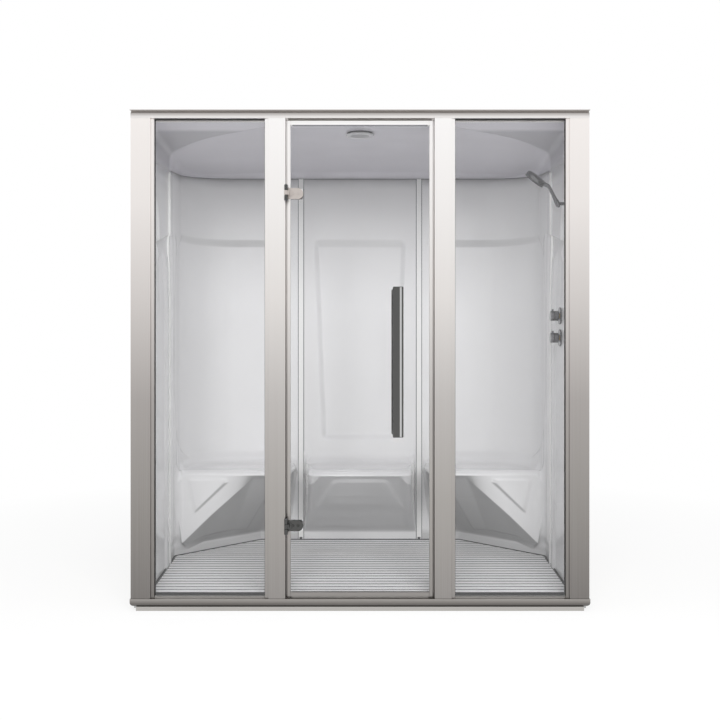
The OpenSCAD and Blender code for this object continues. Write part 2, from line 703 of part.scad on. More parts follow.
module right_pane() in_place() color("lightcyan", 0.3) pane_shape(0, 0, 0);
module left_pane() in_place() color("lightcyan", 0.3)
    mirror([1, 0, 0]) pane_shape(0, 0, 0);
module right_pane_gasket() in_place() color("black") right_gasket();
module left_pane_gasket() in_place() color("black") mirror([1, 0, 0]) right_gasket();

// Door leaf

leaf_pocket = 8;

module door_glass() in_place() color("lightcyan", 0.3) difference() {
    translate([stile_w - leaf_x - leaf_pocket, glass_y, leaf_z0 + rail_h - leaf_pocket])
        cube([door_w - 2 * stile_w + 2 * leaf_pocket, glass_th,
            leaf_z1 - leaf_z0 - 2 * rail_h + 2 * leaf_pocket]);
    handle_bolts_at() y_cylinder(standoff_d, leaf_d * 2);
    for (z = [upper_hinge_z, lower_hinge_z]) hinge_screws_at(z)
        y_cylinder(hinge_screw_d + 2, leaf_d * 2);
}

module leaf_groove(w) {
    translate([0, glass_y - 0.3, 0]) cube([w, glass_th + 0.6, cabin_h]);
}

module stile(s) in_place() color("gainsboro") difference() {
    translate([s > 0 ? leaf_x - stile_w : -leaf_x, leaf_y, leaf_z0])
        cube([stile_w, leaf_d, leaf_z1 - leaf_z0]);
    translate([s > 0 ? leaf_x - stile_w - 1 : stile_w - leaf_x - leaf_pocket - 0.3, 0,
        leaf_z0 - 1]) leaf_groove(leaf_pocket + 1.3);
}

module door_hinge_stile() stile(-1);
module door_lock_stile() stile(1);

module rail(z, glass_side) in_place() color("gainsboro") difference() {
    translate([stile_w - leaf_x, leaf_y, z])
        cube([door_w - 2 * stile_w, leaf_d, rail_h]);
    translate([-leaf_x, glass_y - 0.3,
        glass_side > 0 ? z + rail_h - leaf_pocket - 0.3 : z - 1])
        cube([door_w, glass_th + 0.6, leaf_pocket + 1.3]);
}

module door_top_rail() rail(leaf_z1 - rail_h, -1);
module door_bottom_rail() rail(leaf_z0, 1);

module door_seal() in_place() color("black") for (s = [-1, 1])
    translate([s * (leaf_x - 3.5) - 2.5, leaf_y + leaf_d, leaf_z0])
        cube([5, seal_th, leaf_z1 - leaf_z0]);

module door_sweep() in_place() color("black")
    translate([2 - leaf_x, leaf_y + leaf_d / 2 - 3, leaf_z0 - door_lift + 1])
        cube([door_w - 4, 6, door_lift - 1]);

// Hinges

module hinge_screws_at(z) for (dx = [10, 32])
    translate([stile_w - leaf_x + dx, 0, z]) children();

module hinge_bracket(z) in_place() color("dimgray") translate([hinge_x, hinge_y, z])
    difference() {
        union() {
            for (s = [-1, 1]) translate([0, 0, s * (knuckle_part + 1) - knuckle_part / 2]) {
                cylinder(d = knuckle_d, h = knuckle_part);
                translate([-door_gap / 2, 0, 0]) cube([3, 2 - hinge_y, knuckle_part]);
            }
            translate([-door_gap / 2, -hinge_y, -knuckle_h / 2])
                cube([3, leaf_y + leaf_d - 6, knuckle_h]);
        }
        translate([0, 0, -knuckle_h]) cylinder(d = pin_d + 2 * pin_play, h = 2 * knuckle_h);
    }

module hinge_leaf(z) in_place() color("gray") difference() {
    union() {
        translate([hinge_x, hinge_y, z - knuckle_part / 2 + 0.3])
            cylinder(d = knuckle_d, h = knuckle_part - 0.6);
        translate([hinge_x, hinge_y - 3, z - knuckle_part / 2 + 0.3])
            cube([12, 6, knuckle_part - 0.6]);
        translate([1 - leaf_x, hinge_y - 3, z - knuckle_part / 2 + 0.3])
            cube([5, leaf_y - hinge_y, knuckle_part - 0.6]);
        translate([1 - leaf_x, leaf_y - seat_gap - hinge_plate_th, z - hinge_plate_h / 2])
            cube([hinge_plate_l - hinge_plate_h / 2, hinge_plate_th, hinge_plate_h]);
        translate([1 - leaf_x + hinge_plate_l - hinge_plate_h / 2,
            leaf_y - seat_gap - hinge_plate_th, z])
            y_cylinder(hinge_plate_h, hinge_plate_th);
        translate([stile_w - leaf_x + 2, leaf_y - seat_gap - 1, z - hinge_plate_h / 2 + 4])
            cube([40, glass_y - leaf_y - 0.1 + 1, hinge_plate_h - 8]);
    }
    translate([hinge_x, hinge_y, z - knuckle_h])
        cylinder(d = pin_d + 2 * pin_play, h = 2 * knuckle_h);
    hinge_screws_at(z) y_cylinder(hinge_screw_d + 0.6, leaf_d * 2);
}

module upper_hinge_bracket() hinge_bracket(upper_hinge_z);
module lower_hinge_bracket() hinge_bracket(lower_hinge_z);
module upper_hinge_leaf() hinge_leaf(upper_hinge_z);
module lower_hinge_leaf() hinge_leaf(lower_hinge_z);

module hinge_pins() in_place() color("silver") for (z = [upper_hinge_z, lower_hinge_z])
    translate([hinge_x, hinge_y, z]) {
        translate([0, 0, -knuckle_h / 2]) cylinder(d = pin_d, h = knuckle_h);
        for (s = [0, 1]) mirror([0, 0, s]) translate([0, 0, knuckle_h / 2 + 0.3]) {
            cylinder(d = knuckle_d, h = 2);
            translate([0, 0, 2]) cylinder(d1 = knuckle_d, d2 = 3, h = 4);
        }
    }

// Plate and screw heads on the inner face of the glass
module hinge_clamps() in_place() color("silver")
    for (z = [upper_hinge_z, lower_hinge_z]) difference() {
        translate([stile_w - leaf_x + 2, glass_y + glass_th + 0.2, z - hinge_plate_h / 2])
            cube([hinge_plate_l - 16, 4, hinge_plate_h]);
        hinge_screws_at(z) y_cylinder(hinge_screw_d + 0.6, leaf_d * 3);
    }

module hinge_screws() in_place() color("silver")
    for (z = [upper_hinge_z, lower_hinge_z]) hinge_screws_at(z) {
        head_y = leaf_y - seat_gap - hinge_plate_th;
        translate([0, head_y - 2.5, 0]) y_cylinder(hinge_screw_d + 5, 2.2);
        translate([0, head_y - 1, 0])
            y_cylinder(hinge_screw_d, glass_y + glass_th + 4 - head_y);
        translate([0, glass_y + glass_th + 4.5, 0]) y_cylinder(hinge_screw_d + 5, 3);
    }

// Handle

standoff_pitch = handle_l - 160;
module handle_bolts_at() for (s = [-1, 1])
    translate([handle_x, 0, handle_z + s * standoff_pitch / 2]) children();

module handle_bar(y) in_place() color("dimgray")
    translate([handle_x, y, handle_z]) wall_plate(handle_w, handle_l, 5, handle_th);

module outer_handle() handle_bar(glass_y - handle_reach - handle_th);
module inner_handle() handle_bar(glass_y + glass_th + handle_reach);

module handle_standoffs() in_place() color("silver") handle_bolts_at() {
    translate([0, glass_y - handle_reach + 0.1, 0])
        y_cylinder(standoff_d - 1, 2 * handle_reach + glass_th - 0.2);
    for (y = [glass_y - 3.2, glass_y + glass_th + 0.2])
        translate([0, y, 0]) y_cylinder(standoff_d + 10, 3);
}

// Moulded walls and ceiling

module middle_seat_module() in_place() color("whitesmoke") sheet(middle_grid(), shell_th);

module corner_shape(nozzle) difference() {
    sheet(corner_grid(), shell_th);
    if (nozzle) translate([nozzle_x, back_y - 20, nozzle_z]) y_cylinder(22, 60);
}

module right_corner_module() in_place() color("whitesmoke") corner_shape(true);
module left_corner_module() in_place() color("whitesmoke")
    mirror([1, 0, 0]) corner_shape(false);

module right_side_panel() in_place() color("whitesmoke") difference() {
    sheet(side_grid(), shell_th);
    for (z = [upper_valve_z, lower_valve_z]) fitting_at(valve_y, z)
        translate([-30, 0, 0]) x_cylinder(36, 60);
    fitting_at(shower_y, holder_z) translate([-30, 0, 0]) x_cylinder(13, 60);
}

module left_side_panel() in_place() color("whitesmoke") mirror([1, 0, 0])
    sheet(side_grid(), shell_th);

strip_th = 4;
module seam_strips() in_place() color("white") both_sides() {
    translate([half_middle - strip_half, back_y - strip_th - seat_gap, foot_z])
        cube([strip_w, strip_th, back_top_z - foot_z]);
    translate([side_x(side_seam_y), side_seam_y, foot_z]) rotate(-side_angle)
        translate([-strip_th - 4 - seat_gap, -strip_half, 0])
            cube([strip_th + 4, strip_w, wall_top(side_seam_y - strip_half) - foot_z]);
}

module ceiling_shell() in_place() color("gainsboro") difference() {
    sheet(ceiling_grid(), shell_th);
    at_lamp() translate([0, 0, -30]) cylinder(d = lamp_hole_d + 1, h = 80);
}

module at_lamp() translate([0, lamp_y, lamp_z]) rotate([lamp_lean, 0, 0]) children();

module lamp_bezel() in_place() color("silver") at_lamp() translate([0, 0, -5.4])
    difference() {
        union() {
            cylinder(d1 = lamp_d - 8, d2 = lamp_d, h = 5);
            cylinder(d = lamp_hole_d, h = shell_th + 7);
        }
        translate([0, 0, -1]) cylinder(d = lamp_hole_d - 10, h = 20);
    }

module lamp_lens() in_place() color("white") at_lamp() translate([0, 0, -5])
    cylinder(d = lamp_hole_d - 10.6, h = 4);

module lamp_housing() in_place() color("dimgray")
    at_lamp() translate([0, 0, shell_th + seat_gap]) difference() {
        cylinder(d = lamp_hole_d + 22, h = 14);
        translate([0, 0, -1]) cylinder(d = lamp_hole_d + 1, h = 5);
        translate([0, 0, -1]) cylinder(d = lamp_hole_d - 14, h = 11);
    }

// Rear frame

rear_y = cabin_d - tube;
bar_x = half_w - bar_th - 1.5;
base_rail_h = tube + 10;
side_rail_z = wall_top(frame_d) - 60;
lug_h = 60;
lug_in = 250;

// Square tube along +Z
module square_tube(l) difference() {
    cube([tube, tube, l]);
    translate([profile_wall, profile_wall, -1])
        cube([tube - 2 * profile_wall, tube - 2 * profile_wall, l + 2]);
}

module frame_uprights() in_place() color("silver") both_sides() {
    for (x = [half_middle - tube / 2, half_w - tube - 3])
        translate([x, rear_y, tube + seat_gap])
            square_tube(flat_z - 2 * tube - 2 * seat_gap);
    for (k = [0, 0.5, 1]) {
        z = mix(lug_in, flat_z - lug_in - lug_h + 10, k);
        translate([half_middle - strip_half, back_y + shell_th + seat_gap, z])
            cube([strip_w, rear_y - back_y - shell_th, lug_h]);
        translate([side_x(side_seam_y) + shell_th + 1, side_seam_y - strip_half, z])
            cube([bar_x - side_x(side_seam_y) - shell_th, strip_w, lug_h]);
    }
    translate([bar_x, side_seam_y - 20, base_rail_h + seat_gap])
        cube([bar_th, 40, side_rail_z - base_rail_h - 2 * seat_gap]);
}

module frame_rails() in_place() color("silver") {
    for (z = [0, flat_z - tube]) translate([-bar_x - bar_th, rear_y, z + tube])
        rotate([0, 90, 0]) square_tube(2 * (bar_x + bar_th));
    both_sides() for (z = [0, side_rail_z]) translate([bar_x, frame_d + seat_gap, z])
        cube([bar_th, rear_y - frame_d - 2 * seat_gap, z > 0 ? tube : base_rail_h]);
}

module frame_bolts() in_place() color("dimgray") both_sides() {
    for (x = [half_middle, half_w - tube / 2 - 3])
        translate([x, cabin_d - tube / 2, flat_z]) cylinder(d = 14, h = 5);
    for (z = [base_rail_h / 2, side_rail_z + tube / 2])
        translate([bar_x + bar_th, side_seam_y, z]) x_cylinder(14, 3);
}

// Valves and shower on the right side panel

module fitting_at(y, z) translate([side_x(y), y, z]) rotate([0, 0, -side_angle])
    children();

spindle_d = 10;
module valve_plates() in_place() color("silver")
    for (z = [upper_valve_z, lower_valve_z]) fitting_at(valve_y, z) difference() {
        translate([-6.3, 0, 0]) x_cylinder(valve_plate_d, 6);
        translate([-10, 0, 0]) x_cylinder(25, 20);
    }

module valve_bodies() in_place() color("goldenrod")
    for (z = [upper_valve_z, lower_valve_z]) fitting_at(valve_y, z) {
        translate([-34, 0, 0]) x_cylinder(spindle_d, 40);
        translate([-16, 0, 0]) x_cylinder(24, 34);
        translate([0.3, 0, 0]) x_cylinder(34, 18);
    }

// A short lug on the rim shows how far the knob is turned
module knob(z) in_place() color("silver") fitting_at(valve_y, z) difference() {
    union() {
        translate([-46, 0, 0]) x_cylinder(knob_d, 35);
        translate([-36, 0, 0]) cylinder(d = 9, h = knob_d / 2 + 8);
    }
    translate([-34.5, 0, 0]) x_cylinder(spindle_d + 2 * pin_play, 20);
    translate([-17, 0, 0]) x_cylinder(25, 20);
}

module upper_valve_knob() knob(upper_valve_z);
module lower_valve_knob() knob(lower_valve_z);

holder_pin_d = 8;
plate_d = 34;
module at_holder() fitting_at(shower_y, holder_z) children();
module shower_wall_plate() in_place() color("silver") at_holder() {
    translate([-5.3, 0, 0]) x_cylinder(plate_d, 5);
    translate([-10, 0, 0]) x_cylinder(12, 26);
    translate([-19, 0, 0]) x_cylinder(holder_pin_d, 18);
}

// The grip passes through the holder's ring, leaning into the room
ring_out = 37;
ring_h = 22;
module at_grip() at_holder() translate([-ring_out, 0, 0])
    rotate([0, -shower_tilt, 0]) children();

module shower_holder() in_place() color("silver") difference() {
    union() {
        at_grip() translate([0, 0, -ring_h / 2]) cylinder(d = grip_d + 6, h = ring_h);
        at_holder() translate([-ring_out, 0, 0]) x_cylinder(15, ring_out - 10.3);
    }
    at_grip() translate([0, 0, -40]) cylinder(d = grip_d + 0.8, h = 80);
    at_holder() translate([-19.5, 0, 0]) x_cylinder(holder_pin_d + 2 * pin_play, 18);
}

// The grip ends in a blind socket in the neck of the head
grip_low = 18;
collar_z = ring_h / 2 + 0.5;
neck_z = grip_l - grip_low - 36;
socket_end = neck_z + 16;
module shower_grip() in_place() color("silver") at_grip() {
    translate([0, 0, -grip_low]) cylinder(d1 = grip_d - 5, d2 = grip_d, h = 8);
    translate([0, 0, 8 - grip_low]) cylinder(d = grip_d, h = socket_end - 8 + grip_low);
    translate([0, 0, collar_z]) cylinder(d = grip_d + 7, h = 3);
}

// The head is a drum whose face looks down into the room and slightly to the back
head_lean = 66;
plate_th = 4;
wall_th = 4;
module at_head() at_grip() rotate([0, 0, -head_turn])
    translate([3 - head_d / 2, 0, grip_l + 21]) rotate([0, head_lean, 0]) children();

module shower_head() in_place() color("silver") difference() {
    union() {
        at_head() cylinder(d = head_d, h = head_th - 5);
        at_head() translate([0, 0, head_th - 5]) cylinder(d1 = head_d, d2 = head_d - 24, h = 5);
        hull() {
            at_grip() translate([0, 0, neck_z]) cylinder(d = grip_d + 5, h = 20);
            at_head() translate([head_d / 2 - 9, 0, head_th / 2 - 1]) sphere(d = head_th - 6, $fn = 36);
        }
    }
    at_head() translate([0, 0, -1]) cylinder(d = head_d - 2 * wall_th, h = plate_th + 1);
    at_grip() translate([0, 0, neck_z - 30]) cylinder(d = grip_d + 0.6, h = socket_end
        - neck_z + 30.3);
}

module spray_plate() in_place() color("gray") at_head() {
    translate([0, 0, -plate_th]) cylinder(d = head_d - 1, h = plate_th - seat_gap);
    translate([0, 0, -1]) cylinder(d = head_d - 2 * wall_th - 0.6, h = plate_th);
}

module steam_nozzle() in_place() color("silver") translate([nozzle_x, back_y, nozzle_z])
    difference() {
        union() {
            translate([0, -6.3, 0]) y_cylinder(38, 6);
            translate([0, -1, 0]) y_cylinder(20, 26);
        }
        translate([0, -8, 0]) y_cylinder(14, 40);
    }

tray_pan();
tray_feet();
drain_body();
drain_grate();
front_floor_slats();
front_floor_bearers();
rear_floor_slats();
rear_floor_bearers();
sill();
sill_base();
header();
header_cap();
left_post();
right_post();
left_mullion();
right_mullion();
left_pane();
right_pane();
left_pane_gasket();
right_pane_gasket();
door_glass();
door_hinge_stile();
door_lock_stile();
door_top_rail();
door_bottom_rail();
door_seal();
door_sweep();
upper_hinge_bracket();
lower_hinge_bracket();
upper_hinge_leaf();
lower_hinge_leaf();
hinge_pins();
hinge_clamps();
hinge_screws();
outer_handle();
inner_handle();
handle_standoffs();
middle_seat_module();
left_corner_module();
right_corner_module();
left_side_panel();
right_side_panel();
seam_strips();
ceiling_shell();
lamp_bezel();
lamp_lens();
lamp_housing();
frame_uprights();
frame_rails();
frame_bolts();
valve_plates();
valve_bodies();
upper_valve_knob();
lower_valve_knob();
shower_wall_plate();
shower_holder();
shower_grip();
shower_head();
spray_plate();
steam_nozzle();
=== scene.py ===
# %% [markdown]
# # A steam cabin with a glazed front
# This lesson dresses a finished CAD model of a walk-in steam cabin. The CAD model says where
# every piece is and what moves, so nothing here is placed by eye. Some pieces keep their CAD
# mesh and get a finish and eased edges. The moulded ones, whose CAD meshes are coarse, are
# made again here from the same rules with many more points.

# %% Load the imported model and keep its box
import bpy
import math
import numpy as np
from mathutils import Matrix, Vector


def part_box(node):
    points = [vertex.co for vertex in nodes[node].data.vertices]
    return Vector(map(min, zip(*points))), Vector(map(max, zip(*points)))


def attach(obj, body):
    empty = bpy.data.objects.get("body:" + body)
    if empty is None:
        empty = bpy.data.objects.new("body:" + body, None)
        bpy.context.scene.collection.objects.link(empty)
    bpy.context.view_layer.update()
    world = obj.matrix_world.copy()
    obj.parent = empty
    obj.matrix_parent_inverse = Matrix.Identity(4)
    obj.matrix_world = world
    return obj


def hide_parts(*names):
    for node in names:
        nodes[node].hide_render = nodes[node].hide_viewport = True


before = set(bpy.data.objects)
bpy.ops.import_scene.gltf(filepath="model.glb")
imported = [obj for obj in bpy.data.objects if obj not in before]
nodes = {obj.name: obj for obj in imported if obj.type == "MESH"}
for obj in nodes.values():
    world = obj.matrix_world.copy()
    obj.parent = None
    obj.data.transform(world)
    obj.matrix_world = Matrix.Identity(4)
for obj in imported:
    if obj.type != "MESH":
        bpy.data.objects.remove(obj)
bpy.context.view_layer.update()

# %% [markdown]
# ## Colours and nodes
# A colour is written as the sRGB hex value that a colour picker would show, and one function
# turns it into the linear numbers that Blender calculates with. One more function adds a node
# to a material, sets it and links it. The rest of the helpers are built from it, so each
# finish below reads as a short list of nodes.

# %% Colour and node helpers
def to_linear(hex_colour):
    parts = [int(hex_colour[i:i + 2], 16) / 255 for i in (1, 3, 5)]
    return tuple(p / 12.92 if p <= 0.04045 else ((p + 0.055) / 1.055) ** 2.4
                 for p in parts) + (1.0,)


WHITE = to_linear("#ffffff")


def add_node(tree, kind, inputs=None, **settings):
    node = tree.nodes.new("ShaderNode" + kind)
    for name, value in settings.items():
        setattr(node, name, value)
    for name, value in (inputs or {}).items():
        if isinstance(value, bpy.types.NodeSocket):
            tree.links.new(value, node.inputs[name])
        else:
            node.inputs[name].default_value = value
    return node


def empty_finish(name):
    """The empty node tree of a new material."""
    material = bpy.data.materials.new(name)
    material.use_nodes = True
    material.node_tree.nodes.clear()
    return material.node_tree


def finished(tree, surface):
    """Links a surface to the output and returns the tree's material."""
    add_node(tree, "OutputMaterial", {"Surface": surface})
    return next(material for material in bpy.data.materials if material.node_tree == tree)


def principled(tree, **inputs):
    """Closes a finish with one Principled shader. An input's spaces are written as _."""
    shader = add_node(tree, "BsdfPrincipled",
                      {key.replace("_", " "): value for key, value in inputs.items()})
    return finished(tree, shader.outputs["BSDF"])


def two_shaders(tree, share, a, b):
    """Shader a where share is 0 and shader b where it is 1."""
    both = add_node(tree, "MixShader", {0: share, 1: a.outputs[0], 2: b.outputs[0]})
    return finished(tree, both.outputs["Shader"])

# %% Helpers that each add a node or two and return a socket
def calc(tree, operation, a, b, **settings):
    return add_node(tree, "Math", {0: a, 1: b}, operation=operation,
                    **settings).outputs["Value"]


def vector_calc(tree, operation, *inputs):
    node = add_node(tree, "VectorMath", dict(enumerate(inputs)), operation=operation)
    return node.outputs["Value" if operation == "LENGTH" else "Vector"]


def position(tree):
    return add_node(tree, "TexCoord").outputs["Object"]


def axis(tree, vector, letter):
    return add_node(tree, "SeparateXYZ", {"Vector": vector}).outputs[letter]


def noise(tree, sizes_mm, detail=2.0, roughness=0.5):
    """Noise whose grain is sizes_mm long along X, Y and Z."""
    scaled = add_node(tree, "Mapping", {"Vector": position(tree),
                                        "Scale": [1000 / size for size in sizes_mm]})
    return add_node(tree, "TexNoise", {"Vector": scaled.outputs["Vector"], "Scale": 1.0,
                    "Detail": detail, "Roughness": roughness}).outputs["Fac"]


def ranged(tree, source, low, high, from_low=0.3, from_high=0.7):
    """A number that runs from low to high as source does from from_low to from_high."""
    return add_node(tree, "MapRange", {"Value": source, "From Min": from_low,
                    "From Max": from_high, "To Min": low, "To Max": high}).outputs["Result"]


def blended(tree, share, a, b):
    """Colour a where share is 0 and colour b where it is 1."""
    return add_node(tree, "Mix", {"Factor": share, "A": a, "B": b},
                    data_type="RGBA").outputs["Result"]


def colour_ramp(tree, source, stops):
    ramp = add_node(tree, "ValToRGB", {"Fac": source})
    elements = ramp.color_ramp.elements
    while len(elements) < len(stops):
        elements.new(0.5)
    for element, (place, hex_colour) in zip(elements, stops):
        element.position = place
        element.color = to_linear(hex_colour)
    return ramp.outputs["Color"]


def two_tone(tree, source, dark, light):
    return colour_ramp(tree, source, [(0.3, dark), (0.7, light)])


def bump(tree, height, depth_mm):
    return add_node(tree, "Bump", {"Height": height, "Strength": 1.0,
                                   "Distance": depth_mm / 1000}).outputs["Normal"]


def height_share(tree, low, high):
    """0 at height low and 1 at height high, in metres above the ground."""
    return ranged(tree, axis(tree, position(tree), "Z"), 0, 1, low, high)


print("white is", WHITE)

# %% [markdown]
# ## Anodised aluminium
# The frame is extruded 6060 aluminium, blasted and anodised to a satin silver. Blasting
# leaves a fine even grit that spreads a reflection, and the die leaves faint streaks along
# the bar. The photograph shows it almost white at the top and a warm grey towards the floor,
# so the colour runs with the height: that ramp is painted shade and painted reflection, not
# the metal's own colour. The grit is 0.1 mm on the real bar and is drawn at 3 mm, because
# anything finer can't show.

# %% Satin silver finish for upright and level bars
def anodised_aluminium(name, along, stops, roughness=0.36, low=0.05, high=2.08):
    tree = empty_finish(name)
    sizes = [3.0, 3.0, 3.0]
    sizes["XYZ".index(along)] = 900.0
    streaks = noise(tree, sizes, detail=3.0)
    grit = noise(tree, [3, 3, 3], detail=4.0)
    # Painted shade and painted reflection: the colour is set by the height, from the stops.
    shade = colour_ramp(tree, height_share(tree, low, high), stops)
    return principled(tree, Metallic=1, Normal=bump(tree, grit, 0.015),
                      Base_Color=blended(tree, ranged(tree, streaks, 0, 0.04), shade, WHITE),
                      Roughness=ranged(tree, streaks, roughness - 0.02, roughness + 0.03))


def stops(places, colours):
    return list(zip(places, colours.split()))


# Ramps of painted shade and painted reflection, darker towards the floor. Posts and uprights run
# from a warm grey at the foot to nearly white at the top.
TALL = (0.0, 0.2, 0.41, 0.62, 0.82, 1.0)
post_stops = stops(TALL, "#7d7976 #96928e #aba6a3 #d4cfcc #efeae7 #f8f3f0")
upright_stops = stops(TALL, "#96928f #a9a5a1 #c2bebb #e5e1de #f5f2f0 #fefcfb")
# Painted shadow: a dark band on the header just under its cap, where the cap shades the face.
header_stops = stops((0.0, 0.25, 0.62, 0.88, 1.0), "#fdfbfa #ece8e6 #a8a3a0 #cfcbc8 #e0dddb")
# Painted shade: the sill's face is dark at the bottom and lighter at the top.
sill_stops = stops((0.0, 0.2, 0.43, 0.68, 1.0), "#64605d #6a6764 #716d6a #8a8682 #a5a19d")
base_stops = stops((0.0, 1.0), "#b9b6b2 #c4c0bc")
shadow_stops = stops((0.0, 1.0), "#b3ada9 #bab4b0")
mill_stops = stops((0.0, 1.0), "#b4b4b4 #c4c4c4")
post_aluminium = anodised_aluminium("anodised_post", "Z", post_stops)
upright_aluminium = anodised_aluminium("anodised_upright", "Z", upright_stops)
level_aluminium = anodised_aluminium("anodised_level", "X", upright_stops)
header_aluminium = anodised_aluminium("anodised_header", "X", header_stops, low=2.059,
                                      high=2.1)
sill_aluminium = anodised_aluminium("anodised_sill", "X", sill_stops, low=0.018, high=0.052)
base_aluminium = anodised_aluminium("anodised_base", "X", base_stops)
shadow_aluminium = anodised_aluminium("anodised_shadow_strip", "X", shadow_stops, 0.5)
mill_aluminium = anodised_aluminium("mill_aluminium", "Z", mill_stops, 0.45)

# %% [markdown]
# ## Cast acrylic and its backing
# The walls, seats and ceiling are acrylic sheet, vacuum-formed over a mould and stiffened
# behind with sprayed glass fibre. The room side has a glossy skin of IOR 1.49 with a slow
# waviness from the forming. In the photograph undersides, plinths and the flats beside the
# dome are darker than the studio light makes them, so the finish paints shade on them. The
# back is rough and matt, with chopped strands about 50 mm long in a cream resin.

# %% Room side and back of the moulded pieces
FLAT_SHADE = 0.66


def cast_acrylic(name, hex_colour, roughness=0.08, under=1.0, plinth=1.0, dome=None):
    """Glossy sheet. Undersides, the plinth and the flats beside a dome can get painted shade."""
    tree = empty_finish(name)
    place, facing = position(tree), add_node(tree, "TexCoord").outputs["Normal"]
    height = axis(tree, place, "Z")

    def dimmed(factor):
        return [factor * c for c in to_linear(hex_colour)[:3]] + [1.0]

    cloud = noise(tree, [260, 260, 260])
    shade = blended(tree, ranged(tree, cloud, 0, 1), dimmed(0.975), dimmed(1))
    # Painted shade on faces that look down, low in the room; under sets how dark it gets.
    if under < 1.0:
        low_down = ranged(tree, height, 1, 0.4, 0.55, 0.65)
        faces_down = ranged(tree, axis(tree, facing, "Z"), 0, 1, -0.1, -0.45)
        shade = blended(tree, calc(tree, "MULTIPLY", faces_down, low_down), shade,
                        dimmed(under))
    # Painted shade on the plinth, below about 0.1 m; plinth sets how dark it gets.
    if plinth < 1.0:
        shade = blended(tree, ranged(tree, height, 1, 0, 0.09, 0.12), shade,
                        dimmed(plinth))
    # Painted shade on the flats beside the dome, behind the front band of the ceiling.
    if dome:
        centre, stretch = dome
        off = vector_calc(tree, "SUBTRACT", place, centre)
        reach = vector_calc(tree, "LENGTH", vector_calc(tree, "MULTIPLY", off, stretch))
        outside = ranged(tree, reach, 0, 1, 0.992, 1.012)
        behind = ranged(tree, axis(tree, place, "Y"), 0, 1, -0.44, -0.40)
        shade = blended(tree, calc(tree, "MULTIPLY", outside, behind), shade,
                        dimmed(FLAT_SHADE))
    wave = noise(tree, [160, 160, 160], detail=1.0)
    return principled(tree, IOR=1.49, Base_Color=shade, Normal=bump(tree, wave, 0.2),
                      Roughness=ranged(tree, cloud, roughness - 0.03, roughness + 0.04))

# %% The four acrylics and the glass fibre behind them
tree = empty_finish("glass_fibre_back")
strands = noise(tree, [14, 14, 50], detail=6.0, roughness=0.7)
fibre_back = principled(tree, Roughness=0.6, IOR=1.52, Normal=bump(tree, strands, 1.2),
                        Base_Color=two_tone(tree, strands, "#b9b39c", "#d8d3c0"))

white_acrylic = cast_acrylic("cast_acrylic_white", "#e3e3e4", under=0.85)
# The corner seats are the same sheet as the other seats, with deeper painted shade under the seat
# and on the plinth.
corner_acrylic = cast_acrylic("cast_acrylic_corner", "#e5e5e6", under=0.5, plinth=0.7)
ceiling_acrylic = cast_acrylic("cast_acrylic_ceiling", "#d8d6de", roughness=0.2,
                               dome=((0, 0.364, 0), (1.0, 1 / 0.9, 0)))
strip_acrylic = cast_acrylic("extruded_acrylic_strip", "#eeeeed", roughness=0.15)

# %% [markdown]
# ## Toughened glass
# The panes and the door leaf are 8 mm clear float glass, toughened. A lamp shines straight
# through such a sheet, but a glass shader would make it cast a shadow, so the sheet is made
# of a transparent shader and a mirror. Fresnel with an IOR of 1.52 sets how much of each, and
# a sheet has two faces that each mirror about 4% head-on. The face towards the eye takes both
# shares here and the far one takes none, because light that leaves a solid at a flat angle
# would be mirrored back by that node, which a flat sheet never does.

# %% Clear glass
tree = empty_finish("toughened_glass")
clear = add_node(tree, "BsdfTransparent", {"Color": to_linear("#fdfdfd")})
mirror = add_node(tree, "BsdfGlossy", {"Color": WHITE, "Roughness": 0.02})
fresnel = add_node(tree, "Fresnel", {"IOR": 1.52})
far_face = add_node(tree, "NewGeometry").outputs["Backfacing"]
share = calc(tree, "MULTIPLY", fresnel.outputs["Fac"],
             ranged(tree, far_face, 2, 0, 0, 1), use_clamp=True)
clear_glass = two_shaders(tree, share, clear, mirror)

# %% [markdown]
# ## Chrome, steel, brass, rubber and plastics
# Chrome plate is a mirror over polished brass: nearly no roughness, with a slight haze of
# wiping marks. The handle and the lower hinge are in a darker smoked chrome. Rubber and ABS
# are dielectrics with IOR 1.5, rough from the mould, and the pattern of the mould's skin is
# about 1 mm.

# %% Small-part finishes
def plated_metal(name, hex_colour, roughness, grain_mm=25.0, haze=0.05):
    tree = empty_finish(name)
    wipes = noise(tree, [grain_mm, grain_mm, grain_mm * 3], detail=4.0)
    return principled(tree, Base_Color=to_linear(hex_colour), Metallic=1,
                      Roughness=ranged(tree, wipes, roughness, roughness + haze))


def moulded_plastic(name, dark, light, roughness, depth_mm=0.05):
    tree = empty_finish(name)
    cloud = noise(tree, [40, 40, 40], detail=3.0)
    skin = noise(tree, [1.2, 1.2, 1.2])
    return principled(tree, IOR=1.5, Normal=bump(tree, skin, depth_mm),
                      Base_Color=two_tone(tree, cloud, dark, light),
                      Roughness=ranged(tree, cloud, roughness - 0.05, roughness + 0.05))

